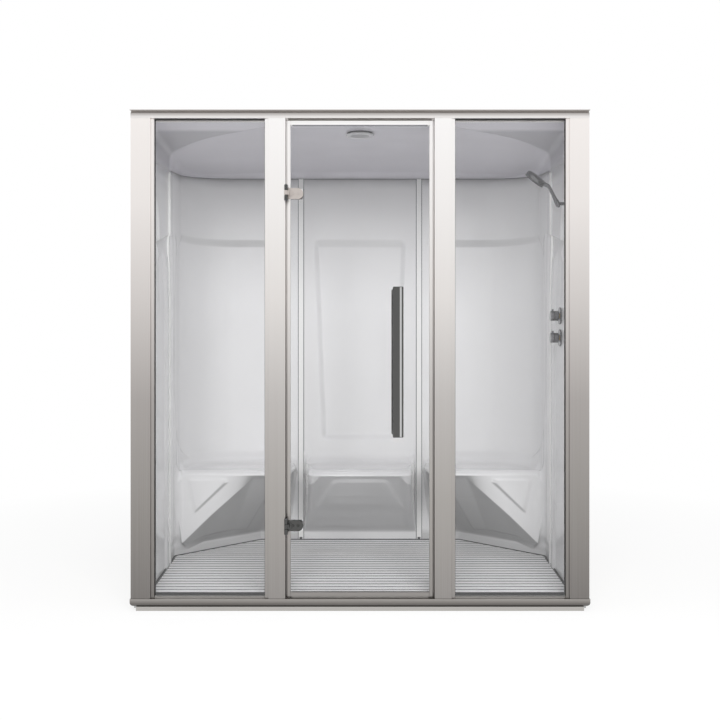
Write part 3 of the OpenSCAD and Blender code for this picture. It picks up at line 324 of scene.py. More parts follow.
# %% Metals, rubbers and plastics
polished_chrome = plated_metal("polished_chrome", "#e8e8ea", 0.05)
fitting_chrome = plated_metal("fitting_chrome", "#6c6c6f", 0.05)
hinge_plate = plated_metal("hinge_plate", "#c9c1bc", 0.3)
smoked_chrome = plated_metal("smoked_chrome", "#565655", 0.22)
handle_chrome = plated_metal("handle_chrome", "#5c5c5b", 0.16)
zinc_steel = plated_metal("zinc_plated_steel", "#b9bcc0", 0.32, grain_mm=12.0, haze=0.12)
stainless = plated_metal("brushed_stainless", "#c9c9c9", 0.28, grain_mm=8.0, haze=0.1)
cast_brass = plated_metal("cast_brass", "#b89a5c", 0.38, grain_mm=6.0, haze=0.15)
epdm_rubber = moulded_plastic("epdm_rubber", "#161616", "#1f1f1f", 0.6)
grey_seal = moulded_plastic("grey_seal", "#918e8b", "#9a9794", 0.5)
black_abs = moulded_plastic("black_abs", "#2a2a2b", "#343435", 0.5)
opal_lens = moulded_plastic("opal_pmma", "#9b9b9e", "#a3a3a6", 0.35, depth_mm=0.02)
lamp_ring = moulded_plastic("white_painted_ring", "#cacacd", "#d2d2d5", 0.35, depth_mm=0.02)
joint_silicone = moulded_plastic("joint_silicone", "#67676b", "#707074", 0.5)
spray_silicone = moulded_plastic("spray_silicone", "#4a4a4c", "#56565a", 0.5)
lamp_paint = moulded_plastic("lamp_paint", "#46464a", "#525256", 0.45)

# %% Screws, pane seals and the tray, which each have two colours
# Plated like the hinge that the screw is in: pale above, smoked below.
tree = empty_finish("hinge_screw_plating")
screw_plating = principled(tree, Metallic=1, Roughness=0.3, Base_Color=colour_ramp(
    tree, height_share(tree, 0.0, 2.0), [(0.5, "#4a4a49"), (0.52, "#c4bcb7")]))

# Black rubber round a pane, with a grey length along the sill.
tree = empty_finish("pane_seal")
skin = noise(tree, [1.5, 1.5, 1.5])
pane_seal = principled(tree, Roughness=0.6, IOR=1.5, Normal=bump(tree, skin, 0.05),
                       Base_Color=colour_ramp(tree, height_share(tree, 0.060, 0.062),
                                              [(0.0, "#8f8c89"), (1.0, "#1b1b1b")]))

# White acrylic with a dark non-slip coat on the floor inside the rim.
tree = empty_finish("coated_tray")
facing = add_node(tree, "NewGeometry").outputs["Normal"]
speckle = noise(tree, [6, 6, 6], detail=3.0)
coat = two_tone(tree, speckle, "#2b2b2c", "#3a3a3b")
level = ranged(tree, axis(tree, facing, "Z"), 0, 1, 0.6, 0.8)
coated_tray = principled(tree, Roughness=0.4, IOR=1.49, Normal=bump(tree, speckle, 0.15),
                         Base_Color=blended(tree, level, to_linear("#e6e5e4"), coat))

# %% [markdown]
# ## Ribbed aluminium slats
# The floor is a grate of anodised aluminium slats with grip ribs. Blasting, water and soap
# dull the metal until it scatters light almost like paint, so the finish is only a quarter
# metal, and its roughness varies along each bar.

# %% Slat finish
tree = empty_finish("anodised_slat")
streaks = noise(tree, [420, 12, 60], detail=4.0)
slat_aluminium = principled(tree, Metallic=0.25, Roughness=ranged(tree, streaks, 0.28, 0.42),
                            Base_Color=two_tone(tree, streaks, "#d6d6d7", "#f2f2f3"))

print("materials:", len(bpy.data.materials))

# %% [markdown]
# ## Sizes shared with the CAD model
# All sizes are in millimetres. X runs to the right and t is the depth behind the front face
# of the posts. A few of them can be read off the CAD pieces, and the rest repeat the CAD
# model's own numbers.

# %% Sizes in millimetres
Y_SHIFT = -571.0
FRAME_D = 50.0
FOOT_Z, PLINTH_Z, SEAT_Z = 50.3, 105.3, 490.0
FLAT_Z, REST_Z = 2050.0, 1690.0
WALL_TOP = FLAT_Z - 6
SHELL = 6.0
SIDE_X0, SIDE_X1, CUT_Y, BACK_Y = 903.0, 938.0, 745.0, 1137.0
CORNER_R, FLOOR_CUT, SEAM_Y = 250.0, 392.0, 590.0
CORNER_X, CORNER_Y = SIDE_X1 - CORNER_R, BACK_Y - CORNER_R
HALF_MIDDLE = 325.0
SEAT_FRONT_Y, MIDDLE_FRONT_Y = 735.0, 705.0
LIP_R, MIDDLE_LIP_R = 40.0, 60.0
SLOPE = (SIDE_X1 - SIDE_X0) / (CUT_Y - FRAME_D)
SIDES = (("right", 1), ("left", -1))
MIRRORED = [-1, 1]


def smooth(v):
    k = np.clip(v, 0.0, 1.0)
    return k * k * (3 - 2 * k)


def mix(a, b, k):
    return a + (b - a) * k


def steps_to_one(n):
    return np.arange(1, n + 1) / n


even = np.linspace
joined = np.concatenate


def length(vectors):
    return np.linalg.norm(vectors, axis=-1, keepdims=True)


def unit(vectors):
    return vectors / np.maximum(length(vectors), 1e-9)


def side_x(t):
    return np.minimum(SIDE_X1, SIDE_X0 + SLOPE * (np.asarray(t, float) - FRAME_D))


def wall_top(t):
    return WALL_TOP - 146 * (BACK_Y - np.asarray(t, float)) / BACK_Y


def row_frame(points):
    """Points in millimetres, with t as the depth, as metres in the CAD model's frame."""
    out = np.array(points, float)
    out[..., 1] += Y_SHIFT
    return out / 1000


print("side wall at the seam:", side_x(SEAM_Y), "mm from the middle")

# %% [markdown]
# ## Meshes
# Every piece that is made here is a closed mesh. A moulded wall is a sheet of even thickness:
# its room side carries the detail, so it gets a fine grid, and its back is smooth, so every
# second line of the grid is enough there. Strips, seals and bars are tubes: the same outline
# at each step along a path, with both ends closed.

# %% Shell and tube builders
def mesh_piece(name, verts, faces, finishes, face_finish=None, soft=True):
    mesh = bpy.data.meshes.new(name)
    mesh.from_pydata([tuple(v) for v in verts], [], faces)
    for finish in finishes:
        mesh.materials.append(finish)
    if face_finish is not None:
        mesh.polygons.foreach_set("material_index", face_finish)
    mesh.polygons.foreach_set("use_smooth", [soft] * len(mesh.polygons))
    mesh.validate()
    piece = bpy.data.objects.new(name, mesh)
    bpy.context.scene.collection.objects.link(piece)
    return piece


def turned_over(faces):
    return [face[:1] + face[:0:-1] for face in faces]


def grid_faces(at):
    """Faces over a grid of point numbers."""
    at = at.tolist()
    return [(a[j], b[j], b[j + 1], a[j + 1]) for a, b in zip(at, at[1:])
            for j in range(len(a) - 1)]


def rim_faces(fine, coarse, kept):
    """Faces that join a fine edge to a coarse one, which has a point at each kept place."""
    fine, coarse = fine.tolist(), coarse.tolist()
    return [tuple(fine[kept[k]:kept[k + 1] + 1] + [coarse[k + 1], coarse[k]])
            for k in range(len(kept) - 1)]


def facing_out(verts, faces):
    """The faces of a closed solid, turned over if they face into it."""
    fans = np.array([(f[0], f[k], f[k + 1]) for f in faces for k in range(1, len(f) - 1)])
    a, b, c = (verts[fans[:, k]] - verts.mean(axis=0) for k in range(3))
    return faces if (a * np.cross(b, c)).sum() > 0 else turned_over(faces)


def kept_lines(count):
    """Every second line of a grid, and the last one."""
    return list(range(0, count - 1, 2)) + [count - 1]


def shell_piece(name, grid, finish, side=1):
    """Closed sheet on a grid of points (columns, rows, 3) in mm, thickened away from the room."""
    ni, nj = grid.shape[:2]
    us, vs = kept_lines(ni), kept_lines(nj)
    out = unit(np.cross(np.gradient(grid, axis=0), np.gradient(grid, axis=1)))
    back = (grid + SHELL * out)[np.ix_(us, vs)]
    verts = joined([grid.reshape(-1, 3), back.reshape(-1, 3)]) * [side, 1, 1]
    room = np.arange(ni * nj).reshape(ni, nj)
    rear = ni * nj + np.arange(len(us) * len(vs)).reshape(len(us), len(vs))
    faces = grid_faces(room)
    room_faces = len(faces)
    faces += turned_over(grid_faces(rear))
    faces += turned_over(rim_faces(room[:, 0], rear[:, 0], us))
    faces += rim_faces(room[:, -1], rear[:, -1], us)
    faces += rim_faces(room[0], rear[0], vs)
    faces += turned_over(rim_faces(room[-1], rear[-1], vs))
    sides = [0] * room_faces + [1] * (len(faces) - room_faces)
    print(name, "faces:", len(faces))
    return mesh_piece(name, row_frame(verts), facing_out(verts, faces),
                      [finish, fibre_back], sides)

# %% Solids along a path, and what each piece says to the frame
def tube(rings):
    """Closed solid through rings of points (count, size, 3), as its points and faces."""
    rings = np.array(rings, float)
    count, size = rings.shape[:2]
    at = np.arange(count * size).reshape(count, size)
    verts, faces = rings.reshape(-1, 3), grid_faces(joined([at, at[:, :1]], axis=1))
    faces += [tuple(at[0].tolist()), tuple(at[-1, ::-1].tolist())]
    return verts, facing_out(verts, faces)


def join_solids(solids):
    verts, faces = [], []
    for part_verts, part_faces in solids:
        faces += [tuple(len(verts) + i for i in face) for face in part_faces]
        verts += [tuple(v) for v in part_verts]
    return verts, faces


def solid_piece(name, solid, finish, soft=False):
    return mesh_piece(name, row_frame(solid[0]), solid[1], [finish], soft=soft)


def fitted(piece, body, slot, *stands_for):
    """Says what the piece moves with and which CAD nodes it stands for. slot is not used."""
    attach(piece, body)
    if stands_for:
        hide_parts(*stands_for)
    return piece

# %% [markdown]
# ## Side walls
# Each side wall is one panel from the post to the seam. It has a raised column beside the
# seam, a long scoop under a sloping ledge and a shallow oval hollow near the post. The scoop
# runs on into the corner module, so its rule is a function that both use.

# %% Relief of the side walls
SCOOP_Y0, SCOOP_Y1, SCOOP_DEPTH = 345.0, 740.0, 18.0
SHOWER_T, HOLDER_Z, VALVE_T = 205.0, 1742.0, 335.0


def ledge_z(t):
    return mix(REST_Z - 88, REST_Z + 6, (t - SCOOP_Y0) / (SCOOP_Y1 - SCOOP_Y0))


def scoop(t, z):
    return (SCOOP_DEPTH * np.clip((SCOOP_Y1 - t) / (SCOOP_Y1 - SCOOP_Y0), 0, 1)
            * smooth((t - SCOOP_Y0 + 30) / 30) * smooth((ledge_z(t) - z) / 8)
            * smooth((z - ledge_z(t) + 330) / 310))


def side_relief(t, z):
    """How far the side panel stands into the room, in millimetres."""
    column = (9 * smooth((t - SEAM_Y + 130) / 40) * smooth((SEAM_Y - 22 - t) / 20)
              * smooth((ledge_z(t) - 60 - z) / 60))
    oval = 13 * smooth((1 - np.hypot((t - 190) / 155, (z - REST_Z + 60) / 165)) / 0.16)
    boss = smooth((60 - np.maximum(np.abs(t - SHOWER_T), np.abs(z - HOLDER_Z))) / 25)
    return column - scoop(t, z) - oval * smooth((t - FRAME_D - 35) / 50) * (1 - boss)


def side_panel_grid():
    t = joined([even(FRAME_D + 0.6, 300, 60), even(304, 358, 16),
                even(366, 560, 30), even(564, SEAM_Y - 0.15, 8)])
    z = joined([[FOOT_Z, 60, 75, PLINTH_Z, 200], even(300, 1260, 25),
                even(1275, 1590, 40), even(1593, 1712, 50),
                even(1718, 1850, 26)])
    t, z = np.meshgrid(t, z, indexing="ij")
    z = joined([z, wall_top(t[:, :1])], axis=1)
    t = joined([t, t[:, :1]], axis=1)
    return np.stack([side_x(t) - side_relief(t, z), t, z], axis=2)


side_grid = side_panel_grid()
for side, s in SIDES:
    fitted(shell_piece(side + "_side_wall", side_grid, white_acrylic, s), "cabin",
           "white_acrylic", side + "_side_panel")

# %% [markdown]
# ## Seat modules
# A seat module is a wall, a seat and a plinth in one moulding. Its section is a path: up the
# plinth, out along the underside of the seat to the crease, up its front, over the lip, back
# across the seat and up the back rest. The section changes from column to column as the plan
# does, so the grid is made of sections, and the moulded details are added as small shifts.

# %% Plan and section tools
def line(a, b, n):
    return mix(np.array(a, float), np.array(b, float), steps_to_one(n)[:, None])


def arc(centre, radius, a0, a1, n):
    angle = np.radians(mix(a0, a1, steps_to_one(n)))
    return np.array(centre) + radius * np.stack([np.cos(angle), np.sin(angle)], axis=1)


def spread(path, n):
    run = joined([[0], np.cumsum(length(np.diff(path, axis=0))[:, 0])])
    at = run[-1] * steps_to_one(n)
    return np.stack([np.interp(at, run, path[:, 0]), np.interp(at, run, path[:, 1])], axis=1)


def curve_through(points, steps):
    """Smooth curve through points (columns, n, 3), with steps rows between each two."""
    slope = np.gradient(points, axis=1)
    slope[:, 0, :2] = 0
    slope[:, -1, :2] = 0
    return [(2 * k ** 3 - 3 * k ** 2 + 1) * points[:, i]
            + (k ** 3 - 2 * k ** 2 + k) * slope[:, i]
            + (3 * k ** 2 - 2 * k ** 3) * points[:, i + 1]
            + (k ** 3 - k ** 2) * slope[:, i + 1]
            for i, n in enumerate(steps) for k in steps_to_one(n)]

# %% Section of a seat module
PLINTH_ROWS, UNDER_ROWS, FRONT_ROWS = 8, 56, 48
CREASE_ROW = PLINTH_ROWS + UNDER_ROWS
REST_ROW, REST_DEPTH = 140, 22
SEAT_STEPS = [6, 6, 6, 8, 8, 8, 8, 8]
CREST = 24.0
FLANGE_LEVELS = [FOOT_Z] + [PLINTH_Z + rise for rise in (0, 60, 120, 190, 270)] + [
    SEAT_Z + rise for rise in (-90, -60, -30, 0, 20, 40, 65, 100, 140)]
WALL_LEVELS = joined([even(660, 1280, 24), even(1296, 1590, 20),
                      even(1594, 1722, 32), even(1736, 1880, 10)])


def seat_section(foot, lip, wall, base, crease, top, lean):
    """Rows of the section as an array (columns, rows, 3)."""
    deep = length(wall - lip)
    back = np.where(deep < 1, 0, (wall - lip) / np.maximum(deep, 1))

    def at(plan, z):
        z = np.broadcast_to(np.asarray(z, float).reshape(-1, 1), (len(foot), 1))
        return joined([plan, z], axis=1)

    def behind(share, most):
        return back * np.minimum(share * deep, most)

    rows, levels = [at(foot, FOOT_Z)], [0.0]

    def straight(a, b, n, u0, u1):
        for k in steps_to_one(n):
            rows.append(mix(a, b, k))
            levels.append(mix(u0, u1, k))

    corner_a, corner_c = at(foot, base), at(lip, SEAT_Z - CREST)
    corner_b = at(lip + behind(0.08, lean), crease)
    straight(rows[0], corner_a, PLINTH_ROWS, 0, 1)
    straight(corner_a, corner_b, UNDER_ROWS, 1, 5)
    straight(corner_b, corner_c, FRONT_ROWS, 5, 6)
    lip2, rear0 = lip + behind(0.25, 52), wall - behind(0.35, 62)
    knots = np.stack([
        corner_c, at(lip + behind(0.1, 15), SEAT_Z - 9), at(lip2, SEAT_Z),
        at(mix(lip2, rear0, 0.3), SEAT_Z - 5), at(mix(lip2, rear0, 0.65), SEAT_Z - 5),
        at(rear0, SEAT_Z + 2), at(wall - behind(0.12, 22), SEAT_Z + 26),
        at(wall - behind(0.04, 6), SEAT_Z + 80), at(wall, SEAT_Z + 150)], axis=1)
    rows += curve_through(knots, SEAT_STEPS)
    for i, n in enumerate(SEAT_STEPS):
        levels += list(6 + i + steps_to_one(n))
    rows = np.stack(rows, axis=1)
    flat = np.interp(levels, range(len(FLANGE_LEVELS)), FLANGE_LEVELS)
    rows[:, :, 2] = mix(flat[None, :], rows[:, :, 2], np.clip(deep / 120, 0, 1))
    above = [at(wall, z) for z in WALL_LEVELS] + [
        at(wall, mix(WALL_LEVELS[-1], top, k)) for k in (0.33, 0.66, 1.0)]
    rows = joined([rows, np.stack(above, axis=1)], axis=1)
    for turn, passes in ((PLINTH_ROWS, 1), (CREASE_ROW, 2)):
        part = rows[:, turn - 5:turn + 6]
        for _ in range(passes):
            part[:, 1:-1] = (part[:, :-2] + 2 * part[:, 1:-1] + part[:, 2:]) / 4
    return rows

# %% Reliefs that stand out of a wall
def outward(path):
    d = unit(np.gradient(path, axis=0))
    return np.stack([d[:, 1], -d[:, 0]], axis=1)


def bevel(v):
    """A straight slope from 0 to 1 with slightly softened ends."""
    return mix(np.clip(v, 0, 1), smooth(v), 0.4)


def rest_level(z, low, width):
    """1 between the bevels at the top and the bottom of a back rest."""
    return bevel((REST_Z + 22 - z) / 42) * bevel((z - low) / width)


def raised_area(distance, width, height):
    """A moulded area that stands out by height, with an edge that is width wide."""
    return height * smooth(0.5 - distance / width)


def push_underside(rows, shift):
    """Moves rows along the normal of an underside, which faces forwards and down."""
    rows[..., 1] -= 0.63 * shift
    rows[..., 2] -= 0.78 * shift
    return rows


def polygon_distance(x, y, corners):
    """Distance to a polygon's edge, positive outside it."""
    best, inside = np.full(x.shape, 1e9), np.zeros(x.shape, bool)
    for (ax, ay), (bx, by) in zip(corners, corners[1:] + corners[:1]):
        dx, dy = bx - ax, by - ay
        k = np.clip(((x - ax) * dx + (y - ay) * dy) / (dx * dx + dy * dy), 0, 1)
        best = np.minimum(best, np.hypot(x - ax - k * dx, y - ay - k * dy))
        crosses = ((ay > y) != (by > y)) & (
            x < (bx - ax) * (y - ay) / np.where(by == ay, 1e-9, by - ay) + ax)
        inside ^= crosses
    return np.where(inside, -best, best)

# %% [markdown]
# ### Corner modules
# The corner module turns round the rear corner of the cabin. Its floor line cuts the corner
# off at 45 degrees, its seat has a straight front with a long rounded crease that runs down to
# the floor, and its back rest is one wide hollow. The front carries a moulded panel with four
# corners, and the underside ends in a soft ridge.

# %% Corner grid
COLS = 7
REST_EDGE_Z = [528, 560, 584, 620, 659, 700, 743, 800, 848, 950, 1099, 1300, 1503, 1600, 1680]
REST_EDGE_T = [975, 925, 890, 845, 806, 786, 766, 735, 713, 690, 679, 695, 736, 800, 900]
FRONT_PANEL = [(862, 447), (680, 447), (676, 430), (832, 282)]
CORNER_END_X, FLANGE_X = 354.0, 340.0


def corner_plan():
    start, flange = [side_x(SEAM_Y), SEAM_Y + 0.15], [side_x(605), 605]
    lip_corner = np.array([side_x(SEAT_FRONT_Y - LIP_R), SEAT_FRONT_Y - LIP_R])
    rear_flange = [FLANGE_X, BACK_Y]
    head = joined([[start], line(start, flange, 3), line(flange, lip_corner, 14)])
    tail = line(rear_flange, [HALF_MIDDLE + 0.15, BACK_Y], 3)
    wall_run = joined([[lip_corner, [SIDE_X1, CORNER_Y]],
                       arc([CORNER_X, CORNER_Y], CORNER_R, 0, 90, 40),
                       [rear_flange]])
    foot_run = np.array([lip_corner, [SIDE_X1, CUT_Y], [SIDE_X1 - FLOOR_CUT, BACK_Y],
                         rear_flange])
    near_flange, rear_y = [FLANGE_X + 4, BACK_Y - 20], SEAT_FRONT_Y + LIP_R
    lip = joined([
        arc(lip_corner - [LIP_R, 0], LIP_R, 0, 90, 3 * COLS),
        line([lip_corner[0] - LIP_R, SEAT_FRONT_Y], [CORNER_END_X + LIP_R, SEAT_FRONT_Y],
             8 * COLS),
        arc([CORNER_END_X + LIP_R, rear_y], LIP_R, -90, -180, 3 * COLS),
        line([CORNER_END_X, rear_y], near_flange, 3 * COLS),
        line(near_flange, rear_flange, COLS)])
    return [joined([head, part, tail])
            for part in (spread(foot_run, 18 * COLS), lip, spread(wall_run, 18 * COLS))]


def corner_grid():
    foot, lip, wall = corner_plan()
    base = FOOT_Z + mix(10, 55, np.clip((SIDE_X1 - foot[:, 0]) / 125, 0, 1))
    crease = mix(FOOT_Z + 33, SEAT_Z - 43, np.clip((SIDE_X1 - lip[:, 0]) / 408, 0, 1))
    rows = seat_section(foot, lip, wall, base, crease, wall_top(wall[:, 1]), 24.0)
    row = np.arange(rows.shape[1])
    wx, wy = wall[:, None, 0], wall[:, None, 1]
    x, t, z = rows[..., 0], rows[..., 1], rows[..., 2]
    edge = np.interp(z, REST_EDGE_Z, REST_EDGE_T)
    rest = (REST_DEPTH * rest_level(z, SEAT_Z + 24, 30) * bevel((wy - edge) / 26)
            * smooth((wx - 385) / 60)
            * (1 - 0.5 * np.clip((wx - CORNER_X) / CORNER_R, 0, 1)))
    roll = ((8 * smooth((t - 610) / 50) * smooth((790 - t) / 60)
             * smooth((REST_Z + 10 - z) / 60) * smooth((z - 110) / 60) - scoop(t, z))
            * smooth((x - SIDE_X1 + 48) / 30))
    rows[..., :2] += outward(wall)[:, None, :] * (
        np.where(row > REST_ROW, rest, 0) - roll)[..., None]
    panel = raised_area(polygon_distance(x, z, FRONT_PANEL), 12, 6)
    on_front = (row > CREASE_ROW + 2) & (row < CREASE_ROW + FRONT_ROWS + 4)
    flat = (lip[:, 1] < SEAT_FRONT_Y + 1)[:, None]
    rows[..., 1] -= np.where(on_front & flat, panel, 0)
    deep = length(lip - foot)
    k = np.clip((row - PLINTH_ROWS) / UNDER_ROWS, 0, 1)[None, :]
    share = smooth((lip[:, 0] - 400) / 16)[:, None]
    return push_underside(rows, 7 * share * smooth((k * deep - 34) / 15)
                          * smooth((1 - k) * deep / 150))


corner_sections = corner_grid()
for side, s in SIDES:
    fitted(shell_piece(side + "_corner_seat", corner_sections, corner_acrylic, s), "cabin",
           "white_acrylic", side + "_corner_module")

# %% [markdown]
# ### Middle module
# The middle module is the same section on a straight wall. Its back rest is a tall panel with
# a bevelled edge, and the underside of its seat carries a moulded area with sloping sides.

# %% Middle grid
UNDER_PANEL = [(-104, 466), (104, 466), (206, 200), (-206, 200)]


def middle_plan():
    end, flange = [HALF_MIDDLE - 0.15, BACK_Y], [310.0, BACK_Y]
    near_flange, rear_y = [304, BACK_Y - 20], MIDDLE_FRONT_Y + MIDDLE_LIP_R
    seat_x = HALF_MIDDLE - 62
    head = joined([[end], line(end, flange, 3)])
    half = joined([
        head, line(flange, near_flange, 4), line(near_flange, [seat_x, rear_y], 3 * COLS),
        arc([seat_x - MIDDLE_LIP_R, rear_y], MIDDLE_LIP_R, 0, -90, 4 * COLS)])
    front = line(half[-1], half[-1] * MIRRORED, 7 * COLS)
    lip = joined([half, front, (half * MIRRORED)[::-1][1:]])
    wall = joined([head, line(flange, [-310.0, BACK_Y], len(lip) - 2 * len(head)),
                           (head * MIRRORED)[::-1]])
    foot_x = joined([head[:, 0], mix(310, 304, steps_to_one(3 * COLS + 4)),
                             mix(304, 248, steps_to_one(4 * COLS))])
    foot_x = joined([foot_x, mix(248, -248, steps_to_one(7 * COLS)),
                             -foot_x[::-1][1:]])
    return np.stack([foot_x, np.full(len(lip), BACK_Y)], axis=1), lip, wall


def middle_grid():
    foot, lip, wall = middle_plan()
    dropped = smooth((np.abs(lip[:, 0]) - 196) / 60) + 4 * smooth((lip[:, 1] - 760) / 330)
    rows = seat_section(foot, lip, wall, np.full(len(lip), PLINTH_Z),
                        SEAT_Z - 30 - 40 * dropped, np.full(len(lip), WALL_TOP), 12.0)
    row = np.arange(rows.shape[1])
    x, t, z = rows[..., 0], rows[..., 1], rows[..., 2]
    half = mix(185, 228, np.clip((z - 620) / 1050, 0, 1))
    rest = REST_DEPTH * rest_level(z, SEAT_Z + 117, 28) * bevel(
        (half + 26 - np.abs(wall[:, None, 0])) / 26)
    rows[..., 1] += np.where(row > REST_ROW, rest, 0)
    share = (BACK_Y - t) / (BACK_Y - MIDDLE_FRONT_Y)
    area = raised_area(polygon_distance(x, share * 550, UNDER_PANEL) - 42, 17, 8)
    under = (row > PLINTH_ROWS + 1) & (row < CREASE_ROW - 2)
    return push_underside(rows, np.where(under, area * smooth((share - 0.36) / 0.2), 0))


fitted(shell_piece("middle_seat", middle_grid(), white_acrylic), "cabin", "white_acrylic",
       "middle_seat_module")

# %% [markdown]
# ## Ceiling
# The ceiling is one more moulding: a flat rim with a shallow dome whose edge is an ellipse.
# Where the dome ends, the flat corners stay level.

# %% Ceiling grid
DOME_T, DOME_RX, DOME_RY, DOME_H, DOME_STEP = 935.0, 1000.0, 900.0, 34.0, 9.0
LAMP_LEAN, LAMP_HOLE = 3.1, 95


def ceiling_half(t):
    return np.where(t < CORNER_Y, side_x(t), CORNER_X + np.sqrt(np.maximum(
        0, CORNER_R ** 2 - (t - CORNER_Y) ** 2)))


def ceiling_section(t):
    last = t == BACK_Y
    half, low = ceiling_half(t), wall_top(t) + 0.3
    high = low if last else FLAT_Z + 11 * np.clip((160 - t) / 110, 0, 1)
    r = 4 if last else min(30, (high - low) * 0.8)
    turn = np.radians(even(0, 90, 7))[:-1]
    edge = np.array([[half, mix(low, high - r, k)] for k in (0, 0.5)] + [
        [half - r + r * np.cos(a), low if last else high - r + r * np.sin(a)] for a in turn])
    k = even(-1, 1, 161)
    x = (half - r) * k
    r2 = (x / DOME_RX) ** 2 + ((t - DOME_T) / DOME_RY) ** 2
    rise = DOME_H * np.maximum(0, 1 - r2) * (1 - np.abs(k) ** 6) * (
        1 - np.clip(t / BACK_Y, 0, 1) ** 8)
    step = DOME_STEP * smooth((1 - r2) / 0.03) * (1 - np.abs(k) ** 24)
    rise = (rise + step) * smooth((BACK_Y - t) / 60)
    section = joined([edge * MIRRORED, np.stack([x, high + rise], axis=1),
                              edge[::-1]])
    return np.stack([section[:, 0], np.full(len(section), t), section[:, 1]], axis=1)


def ceiling_grid():
    ts = joined([even(FRAME_D + 0.3, 160, 14), even(168, CORNER_Y, 74),
                         CORNER_Y + CORNER_R * np.sin(np.radians(even(3, 71, 22))),
                 even(BACK_Y - 12, BACK_Y - 6, 3), [BACK_Y]])
    return np.stack([ceiling_section(t) for t in ts], axis=1)

# %% Cut the lamp's hole
def evaluated_mesh(piece):
    """The piece's mesh with its modifiers applied."""
    bpy.context.view_layer.update()
    return bpy.data.meshes.new_from_object(
        piece.evaluated_get(bpy.context.evaluated_depsgraph_get()))


def cut_round_hole(piece, centre, lean, diameter):
    """Cuts a round hole through a shell with a boolean, and drops the cutter."""
    turn = 2 * np.pi * np.arange(64) / 64
    ring = np.stack([np.cos(turn), np.sin(turn), 0 * turn], axis=1) * diameter / 2000
    verts, faces = tube([ring + [0, 0, -0.06], ring + [0, 0, 0.06]])
    cutter = mesh_piece("cutter", verts, faces, [], soft=False)
    cutter.matrix_world = lean
    cutter.location = centre
    change = piece.modifiers.new("hole", "BOOLEAN")
    change.operation, change.solver, change.object = "DIFFERENCE", "EXACT", cutter
    old, piece.data = piece.data, evaluated_mesh(piece)
    piece.modifiers.clear()
    bpy.data.meshes.remove(old)
    bpy.data.objects.remove(cutter)


def turned(axis_name, degrees):
    return Matrix.Rotation(math.radians(degrees), 4, axis_name)


def middle_of(node):
    return sum(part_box(node), Vector((0, 0, 0))) / 2


def box_mm(node):
    """Two opposite corners of a CAD piece in mm, in the frame's own axes."""
    return [corner * 1000 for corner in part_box(node)]


ceiling = shell_piece("ceiling", ceiling_grid(), ceiling_acrylic)
cut_round_hole(ceiling, middle_of("lamp_bezel"), turned("X", LAMP_LEAN), LAMP_HOLE)
fitted(ceiling, "cabin", "ceiling_acrylic", "ceiling_shell")

# %% [markdown]
# ## Holes for the fittings
# The valves, the shower bracket and the steam nozzle pass through the walls, so the walls are
# drilled where the CAD pieces are.

# %% Drill the right wall
SIDE_DEGREES = math.degrees(math.atan(SLOPE))
VALVE_HOLE, BRACKET_HOLE, NOZZLE_HOLE = 36, 13, 22
across = turned("Z", -SIDE_DEGREES) @ turned("Y", 90)
for t, z, diameter in ((VALVE_T, 1252.0, VALVE_HOLE), (VALVE_T, 1152.0, VALVE_HOLE),
                       (SHOWER_T, HOLDER_Z, BRACKET_HOLE)):
    cut_round_hole(bpy.data.objects["right_side_wall"],
                   Vector(row_frame([float(side_x(t)), t, z])), across, diameter)
cut_round_hole(bpy.data.objects["right_corner_seat"], middle_of("steam_nozzle"),
               turned("X", 90), NOZZLE_HOLE)

# %% [markdown]
# ## Seam strips
# A white extruded strip covers each of the four seams. On the back wall it is straight. On the
# side walls it follows the scoop, so it is drawn along the wall's own relief.

# %% Strips
STRIP_WIDTH, STRIP_ROOT, STRIP_CHAMFER = 26, -3.0, 1.5


def strip_piece(name, path, across_dir, out_dir, stand):
    """A strip along path (n, 3) in mm. Its section has chamfered edges and a flat face."""
    half, c = STRIP_WIDTH / 2, STRIP_CHAMFER
    section = [(-half, STRIP_ROOT), (-half, stand - c), (-half + c, stand),
               (half - c, stand), (half, stand - c), (half, STRIP_ROOT)]
    across_dir, out_dir = np.array(across_dir), np.array(out_dir)
    rings = [[p + across_dir * a + out_dir * b for a, b in section] for p in path]
    fitted(solid_piece(name, tube(rings), strip_acrylic), "cabin",
           "joint_strip", "seam_strips")


levels = joined([even(FOOT_Z, 1300, 30), even(1310, 1960, 90)])
seam = np.full(len(levels), SEAM_Y)
lean = math.radians(SIDE_DEGREES)
for side, s in SIDES:
    back = np.array([[s * HALF_MIDDLE, BACK_Y, z] for z in (FOOT_Z, WALL_TOP)])
    strip_piece(side + "_back_strip", back, (1.0, 0, 0), (0, -1.0, 0), 4.3)
    wall = np.stack([s * (side_x(SEAM_Y) + scoop(seam, levels)), seam, levels], axis=1)
    strip_piece(side + "_side_strip", wall, (s * math.sin(lean), math.cos(lean), 0),
                (-s * math.cos(lean), math.sin(lean), 0), 8.3)

# %% [markdown]
# ## Floor slats
# A slat is an extruded bar with grip ribs. Its ends are cut to follow the walls, so each point
# of its section has its own length. Its sides, the edges of its top and its ends get the black
# rubber finish, which is painted shade: the dark lines of shadow in the gaps between the slats.
# One profile with three ribs is drawn once and set at each slat's place.

# %% Ribbed slats
FLOOR_Z, SLAT_TH, SLAT_GAP, SLAT_COUNT, FRONT_SLATS = 59.0, 12.0, 8.0, 23, 13
FIRST_SLAT, WALL_GAP = 80.0, 12
PITCH = (BACK_Y - WALL_GAP - FIRST_SLAT + SLAT_GAP) / SLAT_COUNT


def floor_half(t):
    return np.minimum(side_x(t), SIDE_X1 + CUT_Y - t) - WALL_GAP


